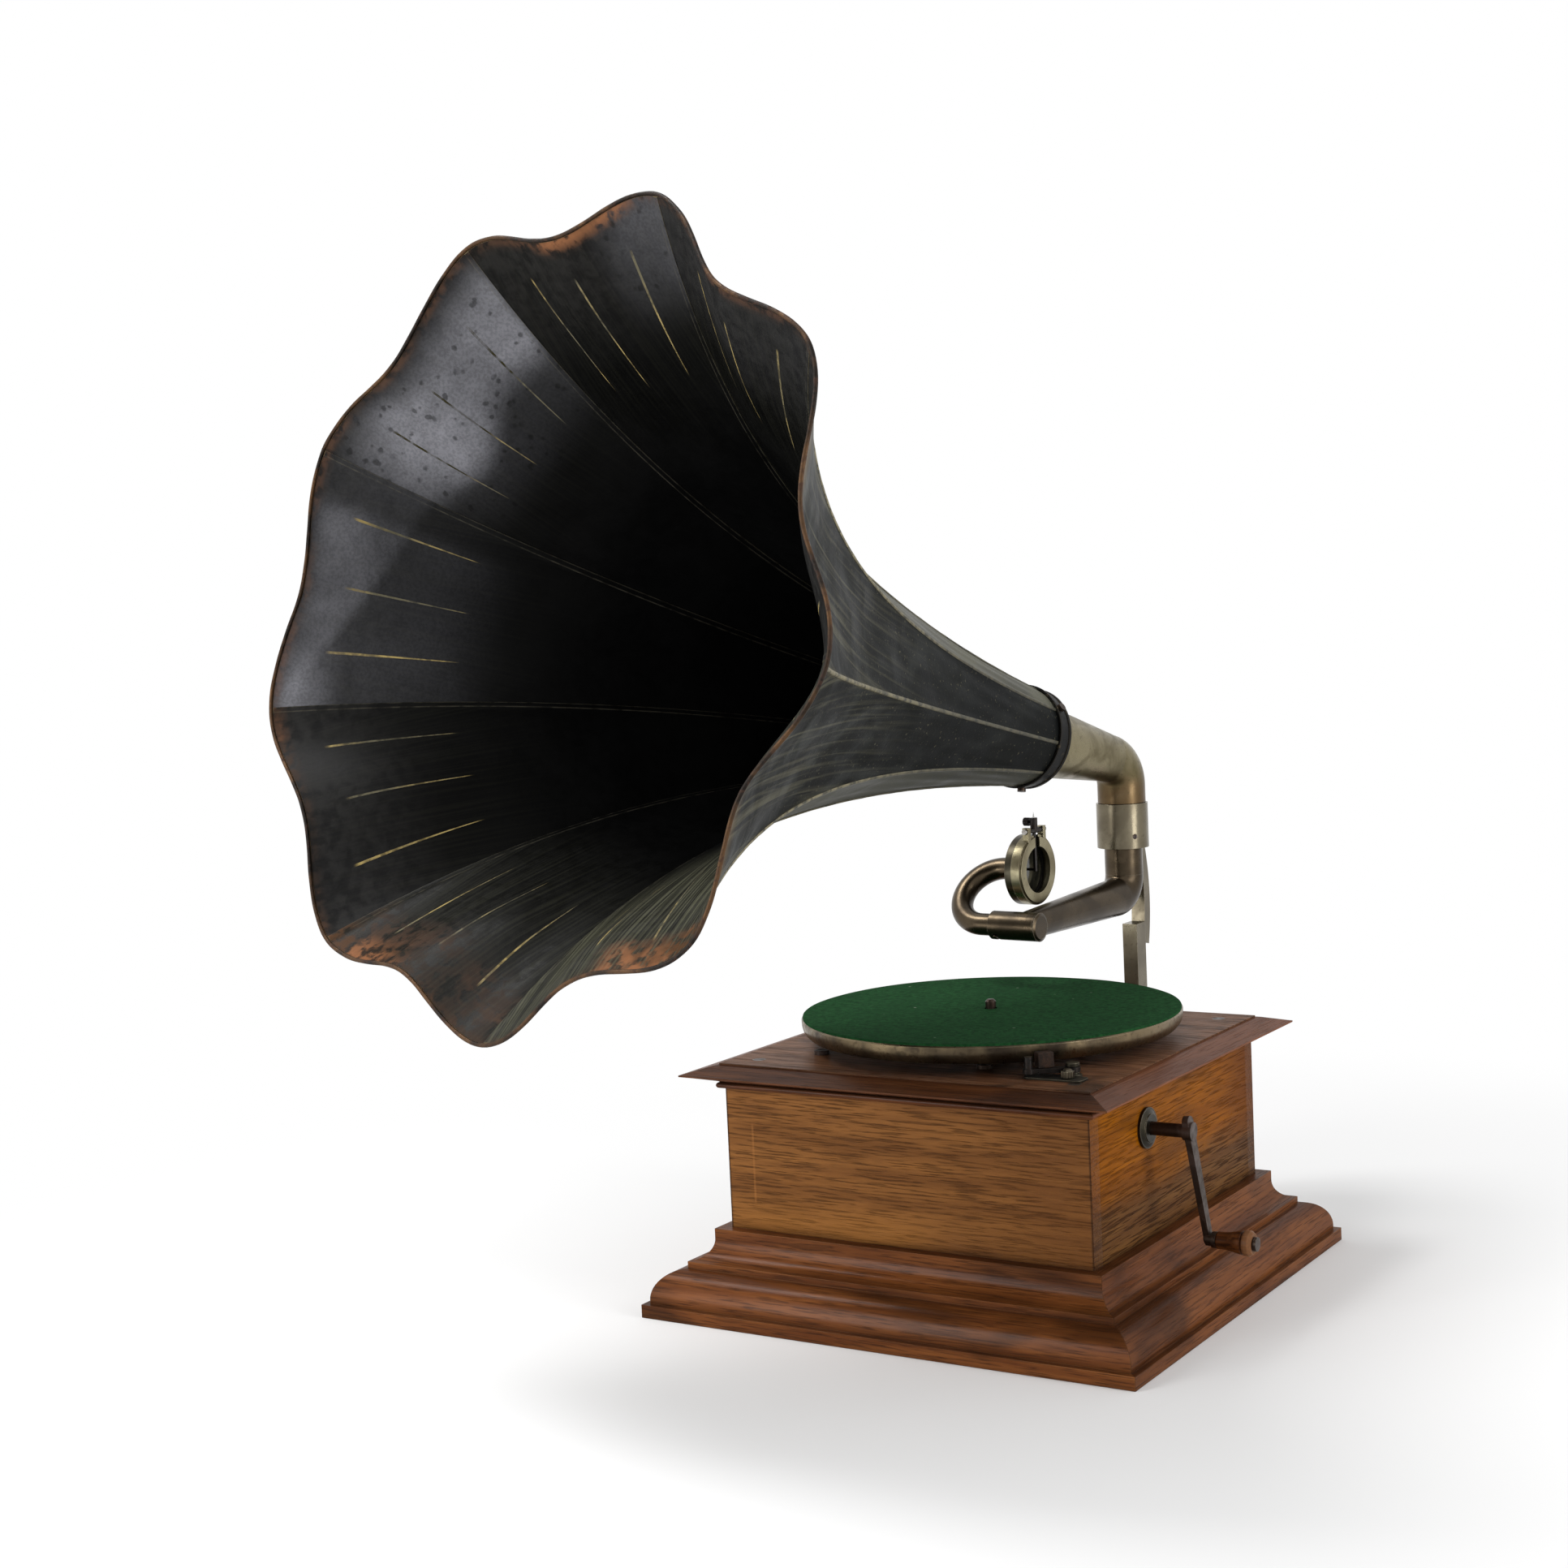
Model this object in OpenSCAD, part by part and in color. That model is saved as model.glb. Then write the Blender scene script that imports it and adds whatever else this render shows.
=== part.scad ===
// Horn gramophone: an oak case with a spring motor, a turntable, a swinging tone arm with a
// gooseneck and soundbox, and a nine-panel sheet-metal horn carried by a bracket behind the case.
// +Z is up, the front of the case faces -Y, and the crank is on the +X side.
// The origin is the centre of the case's underside. All lengths are in millimetres.

/* [Case] */
// Width of the oak body
body_w = 261; // [257:1:290]
// Depth of the oak body
body_d = 261; // [257:1:290]
// Height of the top edge of the body's panels
body_top = 147; // [143:1:160]
// Thickness of the body's panels
panel_t = 12; // [9:0.5:14]
// Height of the panels' lower edge above the surface
panel_foot = 3; // [1:0.5:5]
// Thickness of the bottom board, which lies flush with the foot of the plinth
bottom_t = 7; // [5:0.5:10]
// Leg of the triangular glue blocks in the corners
block_leg = 18; // [14:1:18]

/* [Plinth moulding] */
// How far the narrow top edge of the plinth stands out from the body
plinth_ledge = 8.4; // [5:0.2:12]
// Height of that narrow top edge
plinth_edge_h = 6.5; // [4:0.5:10]
// Radius of the hollow cove
cove_r = 13.5; // [9:0.5:16]
// Height of the flat step under the cove
plinth_step_h = 4.5; // [2:0.5:7]
// Radius of the round ovolo
ovolo_r = 18.5; // [13:0.5:21]
// How far the foot band stands out past the ovolo
foot_step = 4.2; // [2:0.2:8]
// Height of the foot band
foot_band_h = 8.5; // [6:0.5:12]

/* [Top] */
// Thickness of the top board
top_t = 12.5; // [11:0.5:16]
// How far the top board reaches past the body
top_over = 2.5; // [1:0.5:4]
// How far the top moulding's sharp edge reaches past the body
top_out = 22; // [17:0.5:28]
// Height of the moulding's ledge that the top board lies on
ledge_h = 4; // [3:0.5:6]
// How far the top board stands above the moulding round it
top_proud = 1; // [0.5:0.25:2]
// Radius of the bead under the moulding
bead_r = 2; // [1.5:0.1:2]

/* [Turntable] */
// Radius of the turntable
table_r = 127; // [120:1:128]
// How far the turntable's centre lies behind the case's centre
table_y = -2.5; // [-6:0.5:4]
// Gap under the turntable's rim
table_gap = 8.1; // [7:0.1:12]
// Height of the turntable's rim
rim_h = 11.7; // [8:0.1:14]
// Thickness of the pressed turntable plate
plate_t = 2.5; // [1.5:0.1:3]
// Thickness of the rim's wall
rim_t = 3; // [2:0.25:5]
// Thickness of the felt
felt_t = 1.5; // [1:0.1:3]
// Bare rim left round the felt
felt_inset = 0.8; // [0.4:0.1:4]
// Radius of the spindle above the turntable
spindle_tip_r = 3.6; // [3:0.1:3.8]
// Height of the spindle above the felt
spindle_tip_h = 6; // [4:0.5:12]
// Radius of the spindle inside the motor
spindle_r = 4; // [4:0.1:5]

/* [Bracket] */
// Distance of the tone arm's pivot behind the case's centre
pivot_y = 218; // [212:1:235]
// Outer radius of the collar
collar_r = 19; // [18.5:0.25:22]
// Height of the collar's lower edge
collar_z = 268; // [266:1:280]
// Height of the collar
collar_h = 33; // [30:1:44]
// Width of the bracket's bar
bar_w = 11.5; // [9:0.5:16]
// Depth of the bracket's bar
bar_d = 15.5; // [12:0.5:18]
// Distance of the post behind the pivot
post_back = 14; // [13:0.5:16]
// Height of the post's shoulder
post_top = 209; // [200:1:212]
// Radius of the curve where the bracket turns up
bar_bend_r = 56; // [40:1:58]
// Height of the middle of the bracket's foot
foot_z = 98; // [94:1:102]
// Width of the foot plate
foot_w = 56; // [44:1:70]
// Height of the foot plate
foot_h = 72; // [60:1:78]
// Thickness of the foot plate
foot_t = 6; // [4:0.5:9]
// Radius of the long curve of the strap behind the tone arm
strap_r = 139; // [120:1:170]
// Thickness of the strap
strap_t = 10; // [7:0.5:12]

/* [Horn] */
// Number of sheet panels
petal_n = 9; // [9:1:9]
// Length of the panels along the horn's axis
horn_l = 469; // [420:1:500]
// Outer radius of the narrow end
throat_r = 33.5; // [32:0.5:36]
// Radius of the rim at the seams
rim_tip_r = 246; // [220:1:260]
// Radius of the rim midway between the seams
rim_dip_r = 221; // [200:1:224]
// How fast the horn flares towards its rim
flare = 2.25; // [1.5:0.05:3.2]
// How far the rim curls forward between the seams
rim_curl = 3; // [0:0.5:8]
// Thickness of the sheet
sheet_t = 0.8; // [0.6:0.1:1.2]
// Radius of the wire rolled into the rim
wire_r = 1.6; // [1.2:0.1:2.5]
// Turn of the seams about the horn's axis
seam_turn = 17; // [0:1:39]
// Swivel of the horn to the left of straight ahead
horn_swivel = 12; // [0:1:20]
// Rise of the horn's axis above level
horn_rise = 13.2; // [10:0.2:18]
// Length of the ferrule that joins the horn to the elbow
ferrule_l = 20; // [16:1:26]

/* [Elbow] */
// Distance ahead of the pivot where the horn begins
horn_ahead = 106; // [98:0.5:114]
// Height where the horn begins
horn_z = 356.5; // [354:0.5:366]
// Outer radius of the elbow at its foot
elbow_r = 17.6; // [16.8:0.1:18.4]
// Outer radius of the elbow where it enters the horn
elbow_out_r = 26.5; // [24:0.25:28]
// Radius of the elbow's bend
elbow_bend_r = 22; // [20:1:32]
// Wall of the elbow's tube
elbow_wall = 1.4; // [1:0.1:2.5]
// Radius of the spigot that turns in the collar
spigot_r = 16; // [15.5:0.1:16.2]
// Length of the spigot
spigot_l = 12; // [9:0.5:13]

/* [Tone arm] */
// Turn of the arm to the left of straight ahead
arm_turn = 4.5; // [0:0.5:12]
// Distance from the pivot to the cross tube
arm_reach = 145.5; // [140:0.5:160]
// Height of the cross tube's axis
arm_end_z = 228.5; // [226:0.5:238]
// Outer radius of the arm at the collar
arm_r = 14; // [13:0.25:14.5]
// Outer radius of the arm at the cross tube
arm_end_r = 9.7; // [9:0.1:9.8]
// Wall of the arm
arm_wall = 1.5; // [1:0.1:1.7]
// Radius of the arm's bend
arm_bend_r = 16; // [15:0.5:20]
// Downward slope of the arm
arm_slope = 1.5; // [0:0.5:6]
// Radius of the flange that hangs in the collar
arm_flange_r = 16; // [15.5:0.1:16.5]
// Outer radius of the cross tube
sleeve_r = 10.1; // [10:0.1:11]
// Reach of the cross tube to the left
sleeve_left = 24; // [22:0.5:28]
// Reach of the cross tube to the right
sleeve_right = 12; // [10.5:0.5:16]

/* [Gooseneck and soundbox] */
// Outer radius of the gooseneck's tube
goose_r = 7.8; // [7:0.05:7.9]
// Wall of the gooseneck
goose_wall = 1.4; // [1:0.1:2]
// Distance between the gooseneck's two legs
goose_span = 50; // [48:1:56]
// Distance from the arm's centre line to the start of the gooseneck's bend
goose_out = 34; // [31:0.5:42]
// Angle of the thrown-back gooseneck from straight ahead
throw_angle = 135; // [125:1:140]
// Travel of the gooseneck down to the record
goose_travel = 145; // [135:1:145]
// Radius of the soundbox
box_r = 25; // [24:0.5:28]
// Thickness of the soundbox
box_t = 14; // [12:0.5:16]
// Distance of the soundbox's face to the left of the arm's centre line
box_face = 7.5; // [5:0.5:12]
// Radius of the opening in the front ring
face_hole_r = 16.5; // [14:0.5:18]
// Reach of the needle's point from the soundbox's centre
needle_reach = 41; // [39:0.5:43]
// Radius of the needle
needle_r = 0.75; // [0.5:0.05:1]

/* [Crank] */
// Distance of the crank's axis ahead of the case's centre
crank_ahead = 49; // [44:1:54]
// Height of the crank's axis
crank_z = 124; // [122:1:126]
// Radius of the crank's rod outside the case
crank_rod_r = 4.3; // [3.5:0.1:5]
// Distance from the case to the crank's arm
crank_out = 27; // [20:1:40]
// Length of the crank's arm
crank_l = 69; // [55:1:95]
// Angle of the arm behind straight down
crank_angle = 5; // [0:1:20]
// How far the arm leans outwards along its length
crank_lean = 8; // [0:1:14]
// Length of the wooden grip
grip_l = 24; // [20:1:50]
// Radius of the grip at its outer end
grip_r = 7.4; // [6:0.1:10]

/* [Controls] */
// Angle from the right side to the brake, round the turntable's front
brake_angle = 45.7; // [44.5:0.1:47.5]
// Distance from the turntable's rim to the brake's pivot
brake_out = 10; // [9:0.5:11]
// Distance from the turntable's rim to the speed knob's axis
knob_out = 18.5; // [18:0.5:19.5]
// Radius of the speed knob
knob_r = 4.2; // [3.5:0.1:4.5]

/* [Motor] */
// Distance of the spring barrel to the left of the centre
barrel_x = 50; // [49:1:52]
// Radius of the spring barrel
barrel_r = 38; // [34:0.5:38.5]
// Height of the spring barrel
barrel_h = 28; // [20:1:30]
// Height of the lower plate's underside
motor_z = 58; // [56:1:60]
// Radius of the pillars between the plates
pillar_r = 5; // [4:0.25:6]
// Width of the mainspring's strip
spring_w = 20; // [14:1:20]
// Turns of the mainspring
spring_turns = 7; // [5:1:8]
// Radius of the governor's balls
ball_r = 6; // [5:0.25:6.5]

/* [Hidden] */
$fn = 64;
run_gap = 0.05;
seat_gap = 0.3;
eps = 0.01;

// Colours as the photograph shows them
oak = [0.55, 0.33, 0.14];
oak_dark = [0.36, 0.2, 0.12];
pale_wood = [0.7, 0.56, 0.38];
nickel = [0.66, 0.62, 0.54];
old_nickel = [0.5, 0.45, 0.36];
dark_steel = [0.22, 0.2, 0.19];
bright_steel = [0.72, 0.72, 0.72];
brass = [0.72, 0.56, 0.25];
black_lacquer = [0.1, 0.11, 0.11];
green_felt = [0.1, 0.3, 0.16];
mica = [0.35, 0.33, 0.28, 0.6];
black_rubber = [0.12, 0.12, 0.12];
leather = [0.35, 0.22, 0.13];
cast_iron = [0.25, 0.26, 0.27];

// Heights that several pieces share
top_under = body_top + ledge_h;
top_z = top_under + top_t;
rim_z = top_z + table_gap;
platter_z = rim_z + rim_h;
felt_z = platter_z + felt_t;
half_w = body_w / 2;
half_d = body_d / 2;
in_w = half_w - panel_t;
in_d = half_d - panel_t;

// The plinth's outline, as distance out from the body and height
plinth_nose = 2.5;
plinth_out = plinth_ledge + cove_r + ovolo_r + foot_step;
ovolo_z = foot_band_h + plinth_nose;
cove_z = ovolo_z + ovolo_r + plinth_step_h;
plinth_h = cove_z + cove_r + plinth_edge_h;
arc_steps = 12;

function arc(cx, cy, r, a0, a1) =
    [for (i = [0:arc_steps]) let (a = a0 + (a1 - a0) * i / arc_steps) [cx + r * cos(a), cy + r * sin(a)]];

module plinth_outline() {
    difference() {
        union() {
            square([plinth_out, foot_band_h]);
            square([plinth_out - foot_step - ovolo_r, plinth_h]);
            square([plinth_out - foot_step, ovolo_z]);
            translate([plinth_out - foot_step - ovolo_r, ovolo_z]) circle(r = ovolo_r);
        }
        translate([-2 * ovolo_r, -2 * ovolo_r]) square([2 * ovolo_r, 5 * plinth_h]);
        translate([-2 * ovolo_r, -2 * ovolo_r]) square([4 * plinth_out, 2 * ovolo_r]);
        translate([plinth_ledge + cove_r, cove_z + cove_r]) circle(r = cove_r);
        translate([plinth_ledge, cove_z + cove_r]) square([2 * cove_r, 2 * plinth_h]);
    }
}

// The top moulding's outline, as distance out from the body and height above the panels
edge_band = 1.6;
edge_low = 9;
top_rim = top_under - body_top + top_t - top_proud;
module top_outline() {
    polygon(concat(
        [[-panel_t, 0], [bead_r, 0]],
        arc(bead_r + 0.6, bead_r, bead_r, -90, 90),
        [[top_over + 0.8, 2 * bead_r + 0.5], [top_out - 3, edge_low], [top_out, edge_low + 0.6],
         [top_out, edge_low + edge_band], [top_out - 2.5, edge_low + edge_band + 0.6],
         [top_over + 3, top_rim - 0.4], [top_over, top_rim], [top_over, ledge_h],
         [-panel_t, ledge_h]]));
}

// Four mitred lengths of one moulding round the body, with a hairline between their ends; the
// outline is the child
mitre = 0.08;
module mitred_frame(inward, outward, tall) {
    for (i = [0:3]) {
        run = i % 2 == 0 ? half_w : half_d;
        off = i % 2 == 0 ? half_d : half_w;
        rotate([0, 0, 90 * i]) intersection() {
            translate([run + outward, -off, 0]) rotate([90, 0, -90])
                linear_extrude(height = 2 * (run + outward)) children();
            translate([0, 0, -tall]) linear_extrude(height = 3 * tall)
                polygon([[-run + inward + mitre, -off + inward], [run - inward - mitre, -off + inward],
                         [run + outward - mitre, -off - outward], [-run - outward + mitre, -off - outward]]);
        }
    }
}

module plinth_mouldings() {
    color(oak_dark) mitred_frame(0, plinth_out, plinth_h) plinth_outline();
}

module top_mouldings() {
    color(oak_dark) translate([0, 0, body_top])
        mitred_frame(panel_t, top_out, top_rim) top_outline();
}

// Case panels
panel_h = body_top - panel_foot;
screw_r = 2.2;
screw_in = 16.5;
foot_screw_x = 20;
foot_screw_z = 26;
foot_screw_l = 15;

module foot_screw_places() {
    for (sx = [-1, 1]) for (sz = [-1, 1])
        translate([sx * foot_screw_x, half_d + foot_t, foot_z + sz * foot_screw_z]) rotate([90, 0, 0])
            children();
}

module corner_screw_places() {
    for (sx = [-1, 1]) for (sy = [-1, 1])
        translate([sx * (half_w - screw_in), sy * (half_d - screw_in), top_z]) rotate([180, 0, 0])
            children();
}

module front_panel() {
    color(oak) translate([-half_w, -half_d, panel_foot]) cube([body_w, panel_t, panel_h]);
}

module back_panel() {
    color(oak) difference() {
        translate([-half_w, in_d, panel_foot]) cube([body_w, panel_t, panel_h]);
        foot_screw_places() cylinder(r = screw_r, h = foot_screw_l);
    }
}

module side_panel(side, hole_r) {
    color(oak) difference() {
        translate([side > 0 ? in_w : -half_w, -in_d, panel_foot]) cube([panel_t, 2 * in_d, panel_h]);
        if (hole_r > 0) translate([half_w + eps, -crank_ahead, crank_z]) rotate([0, -90, 0])
            cylinder(r = hole_r, h = panel_t + 2 * eps);
    }
}

module left_panel() {
    side_panel(-1, 0);
}

module right_panel() {
    side_panel(1, bush_r);
}

module bottom_board() {
    color(pale_wood) translate([-in_w, -in_d, 0]) cube([2 * in_w, 2 * in_d, bottom_t]);
}

corner_screw_l = 34;
module corner_blocks() {
    color(pale_wood) difference() {
        for (sx = [-1, 1]) for (sy = [-1, 1]) translate([sx * in_w, sy * in_d, bottom_t])
            linear_extrude(height = top_under - bottom_t)
                polygon([[0, 0], [-sx * block_leg, 0], [0, -sy * block_leg]]);
        corner_screw_places() cylinder(r = screw_r, h = corner_screw_l);
        translate([knob_x, knob_y, bottom_t]) cylinder(r = cam_r + cam_off + seat_gap, h = top_z);
    }
}

// Top board, with the holes for the spindle, the motor bolts, the screws and the controls
spindle_hole_r = 9;
bolt_r = 2.5;
bolt_places = [[-84, 20], [-84, -84], [54, 20], [40, -90]];
rod_r = 3;
post_r = 3;
brake_side = 10;
brake_place = beside_rim(brake_out, brake_side);
knob_side = 4;
knob_place = beside_rim(knob_out, knob_side);
knob_x = knob_place[0];
knob_y = knob_place[1];

// A place beside the turntable: its distance from the rim, and its distance to the right of the
// line from the spindle through the brake pad
function beside_rim(out, side) = [0, table_y]
    + (table_r + out) * [cos(brake_angle), -sin(brake_angle)] + side * [sin(brake_angle), cos(brake_angle)];

module top_board() {
    color(oak_dark) difference() {
        translate([-half_w - top_over, -half_d - top_over, top_under])
            cube([body_w + 2 * top_over, body_d + 2 * top_over, top_t]);
        translate([0, table_y, top_under - 1]) cylinder(r = spindle_hole_r, h = top_t + 2);
        for (p = bolt_places) translate([p[0], p[1], top_under - 1]) cylinder(r = bolt_r, h = top_t + 2);
        corner_screw_places() countersunk_screw(corner_screw_l);
        translate([knob_x, knob_y, top_under - 1]) cylinder(r = rod_r + run_gap, h = top_t + 2);
        translate([brake_place[0], brake_place[1], top_z - brake_post_in]) cylinder(r = post_r, h = top_t);
    }
}

module countersunk_screw(l) {
    cylinder(r1 = 2 * screw_r, r2 = screw_r, h = screw_r);
    cylinder(r = screw_r, h = l);
}

module wood_screws() {
    color(dark_steel) {
        difference() {
            corner_screw_places() countersunk_screw(corner_screw_l);
            corner_screw_places() translate([-2.5 * screw_r, -0.4, -1]) cube([5 * screw_r, 0.8, 1.8]);
        }
        difference() {
            foot_screw_places() union() {
                cylinder(r = screw_r, h = foot_screw_l);
                translate([0, 0, -1.2]) cylinder(r = 2 * screw_r, h = 1.2);
                translate([0, 0, -2.4]) cylinder(r1 = 1.4 * screw_r, r2 = 2 * screw_r, h = 1.2);
            }
            foot_screw_places() translate([-0.4, -2.5 * screw_r, -3]) cube([0.8, 5 * screw_r, 1.4]);
        }
    }
}

// Bracket: foot plate, curved bar, strap behind the arm, and the collar
post_y = pivot_y + post_back;
turn_y = post_y - bar_bend_r;
collar_top = collar_z + collar_h;
shelf_z = collar_z + 14;
strap_back = post_y + 19;
strap_mid_z = 225;
strap_y = strap_back - strap_r;
strap_w = bar_w - 1;
strap_low = -14;
strap_high = 20;
foot_corner = 8;
collar_block_d = 9;
collar_block_in = 4;

// Sweeps its child about an axis along X: the outline's x is the radius, its y runs along X,
// and the angles go from +Y towards +Z
module swing_sweep(cy, cz, a0, a1) {
    translate([0, cy, cz]) rotate([90, 0, 90]) rotate([0, 0, a0]) rotate_extrude(angle = a1 - a0)
        children();
}

module rounded_plate(w, h, r) {
    square([w - 2 * r, h], center = true);
    square([w, h - 2 * r], center = true);
    for (sx = [-1, 1]) for (sy = [-1, 1]) translate([sx * (w / 2 - r), sy * (h / 2 - r)]) circle(r = r);
}

collar_screw_z = collar_z + 9;
collar_screw_r = 1.8;
collar_screw_turn = 52;
module at_collar_screw() {
    translate([0, pivot_y, collar_screw_z]) rotate([90, 0, collar_screw_turn]) children();
}

module bracket() {
    color(old_nickel) difference() {
        union() {
            translate([0, half_d + foot_t, foot_z]) rotate([90, 0, 0])
                linear_extrude(height = foot_t) rounded_plate(foot_w, foot_h, foot_corner);
            translate([-bar_w / 2, half_d + foot_t - 1, foot_z - bar_d / 2])
                cube([bar_w, turn_y - half_d - foot_t + 1, bar_d]);
            swing_sweep(turn_y, foot_z + bar_bend_r, -90, 0)
                translate([bar_bend_r - bar_d / 2, -bar_w / 2]) square([bar_d, bar_w]);
            translate([-bar_w / 2, post_y - bar_d / 2, foot_z + bar_bend_r])
                cube([bar_w, bar_d, post_top - foot_z - bar_bend_r]);
            swing_sweep(strap_y, strap_mid_z, strap_low, strap_high)
                translate([strap_r - strap_t, -strap_w / 2]) square([strap_t, strap_w]);
            translate([-bar_w / 2, pivot_y + collar_r - 2, collar_z - collar_block_in])
                cube([bar_w, collar_block_d, collar_h - 2 * collar_block_in]);
            translate([0, pivot_y, collar_z]) cylinder(r = collar_r, h = collar_h);
        }
        translate([0, pivot_y, collar_z - 5]) cylinder(r = arm_r + run_gap, h = collar_h + 10);
        translate([0, pivot_y, shelf_z]) cylinder(r = max(spigot_r, arm_flange_r) + run_gap, h = collar_h);
        at_collar_screw() cylinder(r = collar_screw_r, h = 2 * collar_r);
        foot_screw_places() translate([0, 0, -1]) cylinder(r = screw_r, h = foot_screw_l);
    }
}

module collar_screw() {
    color(dark_steel) at_collar_screw() difference() {
        translate([0, 0, arm_r + run_gap + seat_gap])
            cylinder(r = collar_screw_r, h = collar_r - arm_r - run_gap - seat_gap + 0.3);
        translate([-0.35, -5, collar_r - 0.7]) cube([0.7, 10, 3]);
    }
}

// Horn elbow, built in the swivelled frame with its forward side towards -Y
module horn_turned() {
    translate([0, pivot_y, 0]) rotate([0, 0, -horn_swivel]) children();
}

module horn_frame() {
    horn_turned() translate([0, -horn_ahead, horn_z]) rotate([90 - horn_rise, 0, 0]) children();
}

elbow_turn = 90 - horn_rise;
elbow_run = (horn_ahead - elbow_bend_r * (1 - cos(elbow_turn))) / sin(elbow_turn);
elbow_z = horn_z - elbow_bend_r * sin(elbow_turn) - elbow_run * cos(elbow_turn);
elbow_foot_z = collar_top + seat_gap;
ferrule_back = 6;
elbow_cone = elbow_run - ferrule_back - 1;
elbow_reach = ferrule_l - 4;

module elbow_tube(inset) {
    r = elbow_r - inset;
    r2 = elbow_out_r - inset;
    low_z = elbow_foot_z + (inset > 0 ? 2 : 0);
    translate([0, 0, low_z]) cylinder(r = r, h = elbow_z - low_z);
    swing_sweep(-elbow_bend_r, elbow_z, 0, elbow_turn) translate([elbow_bend_r, 0]) circle(r = r);
    translate([0, -elbow_bend_r * (1 - cos(elbow_turn)), elbow_z + elbow_bend_r * sin(elbow_turn)])
        rotate([elbow_turn, 0, 0]) {
            cylinder(r1 = r, r2 = r2, h = elbow_cone);
            translate([0, 0, elbow_cone]) cylinder(r = r2, h = 1 + elbow_reach + (inset > 0 ? 1 : 0));
        }
}

module elbow() {
    spigot_z = elbow_foot_z - spigot_l;
    color(brass) horn_turned() difference() {
        union() {
            elbow_tube(0);
            translate([0, 0, spigot_z]) cylinder(r = spigot_r, h = spigot_l + 1);
        }
        elbow_tube(elbow_wall);
        translate([0, 0, spigot_z - 1]) cylinder(r = spigot_r - 2.4, h = spigot_l + 4);
    }
}

// The ferrule closes the horn's narrow end: the sheet's edge lies in the groove between its inner
// ring on the elbow and its outer band
band_l = ferrule_l - ferrule_back - 2;
band_t = 1.3;
band_gap = 0.15;
module horn_ferrule() {
    in_r = throat_r - sheet_t - band_gap;
    low_r = throat_r + band_gap;
    high_r = seam_radius(band_l / horn_l) + band_gap;
    color(black_lacquer) horn_frame() difference() {
        union() {
            translate([0, 0, -ferrule_back]) cylinder(r = elbow_out_r + 2, h = ferrule_l);
            translate([0, 0, -band_t - band_gap]) cylinder(r = low_r + band_t, h = band_t);
            difference() {
                union() {
                    translate([0, 0, -band_t - band_gap])
                        cylinder(r1 = low_r + band_t, r2 = high_r + band_t, h = band_l + band_t + band_gap);
                    translate([0, 0, band_l - 1.5]) cylinder(r = high_r + band_t + 0.6, h = 1.5);
                    translate([0, 0, -band_t - band_gap]) cylinder(r = low_r + band_t + 0.8, h = 2);
                }
                translate([0, 0, -band_gap])
                    cylinder(r1 = low_r, r2 = high_r + 0.5, h = band_l + band_gap + eps);
            }
            translate([0, 0, -band_t - band_gap]) cylinder(r = in_r, h = 4);
        }
        translate([0, 0, -ferrule_back - 1]) cylinder(r = elbow_out_r, h = ferrule_l + 2);
        horn_screw_turns() translate([0, 0, horn_screw_foot]) cylinder(r = horn_screw_r, h = throat_r);
    }
}

horn_screw_r = 1.5;
horn_screw_z = 7;
horn_screw_foot = seam_radius(horn_screw_z / horn_l) + 0.1;
module horn_screw_turns() {
    for (a = [55, 175, 295]) translate([0, 0, horn_screw_z]) rotate([-90, 0, -a]) children();
}

module horn_screws() {
    head = seam_radius(horn_screw_z / horn_l) + band_gap + band_t;
    color(dark_steel) horn_frame() horn_screw_turns() {
        translate([0, 0, horn_screw_foot]) cylinder(r = horn_screw_r, h = head - horn_screw_foot + 1);
        translate([0, 0, head + 0.5]) cylinder(r = 3, h = 2.6);
    }
}

// Horn panels: the radius grows along the axis, the section turns from a circle at the throat
// to flat sides between the seams, and the rim becomes a smooth wave with a lobe at each seam
half_petal = 180 / petal_n;
petal_rows = 13;
petal_cols = 8;
function smooth(u) = let (c = max(0, min(1, u))) c * c * (3 - 2 * c);
function seam_radius(t) = throat_r + (rim_tip_r - throat_r) * (exp(flare * t) - 1) / (exp(flare) - 1);
function flat_side(t, a) = 1 - (1 - pow(1 - t, 3)) * (1 - cos(half_petal) / cos(a));
function rim_wave(a) = (rim_tip_r + rim_dip_r - (rim_tip_r - rim_dip_r) * cos(petal_n * a))
    / (2 * rim_tip_r);
function rim_share(t) = smooth((t - 0.72) / 0.28);
function petal_radius(t, a) =
    seam_radius(t) * (flat_side(t, a) * (1 - rim_share(t)) + rim_wave(a) * rim_share(t));
function petal_height(t, a) = horn_l * t + rim_curl * rim_share(t) * (1 + cos(petal_n * a)) / 2;
function petal_point(k, t, a, inset) =
    let (turn = seam_turn + half_petal * (2 * k + 1) + a, r = petal_radius(t, a) - inset)
    [r * sin(turn), r * cos(turn), petal_height(t, a)];
function row_share(i) = 1 - pow(1 - i / petal_rows, 1.25);

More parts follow.
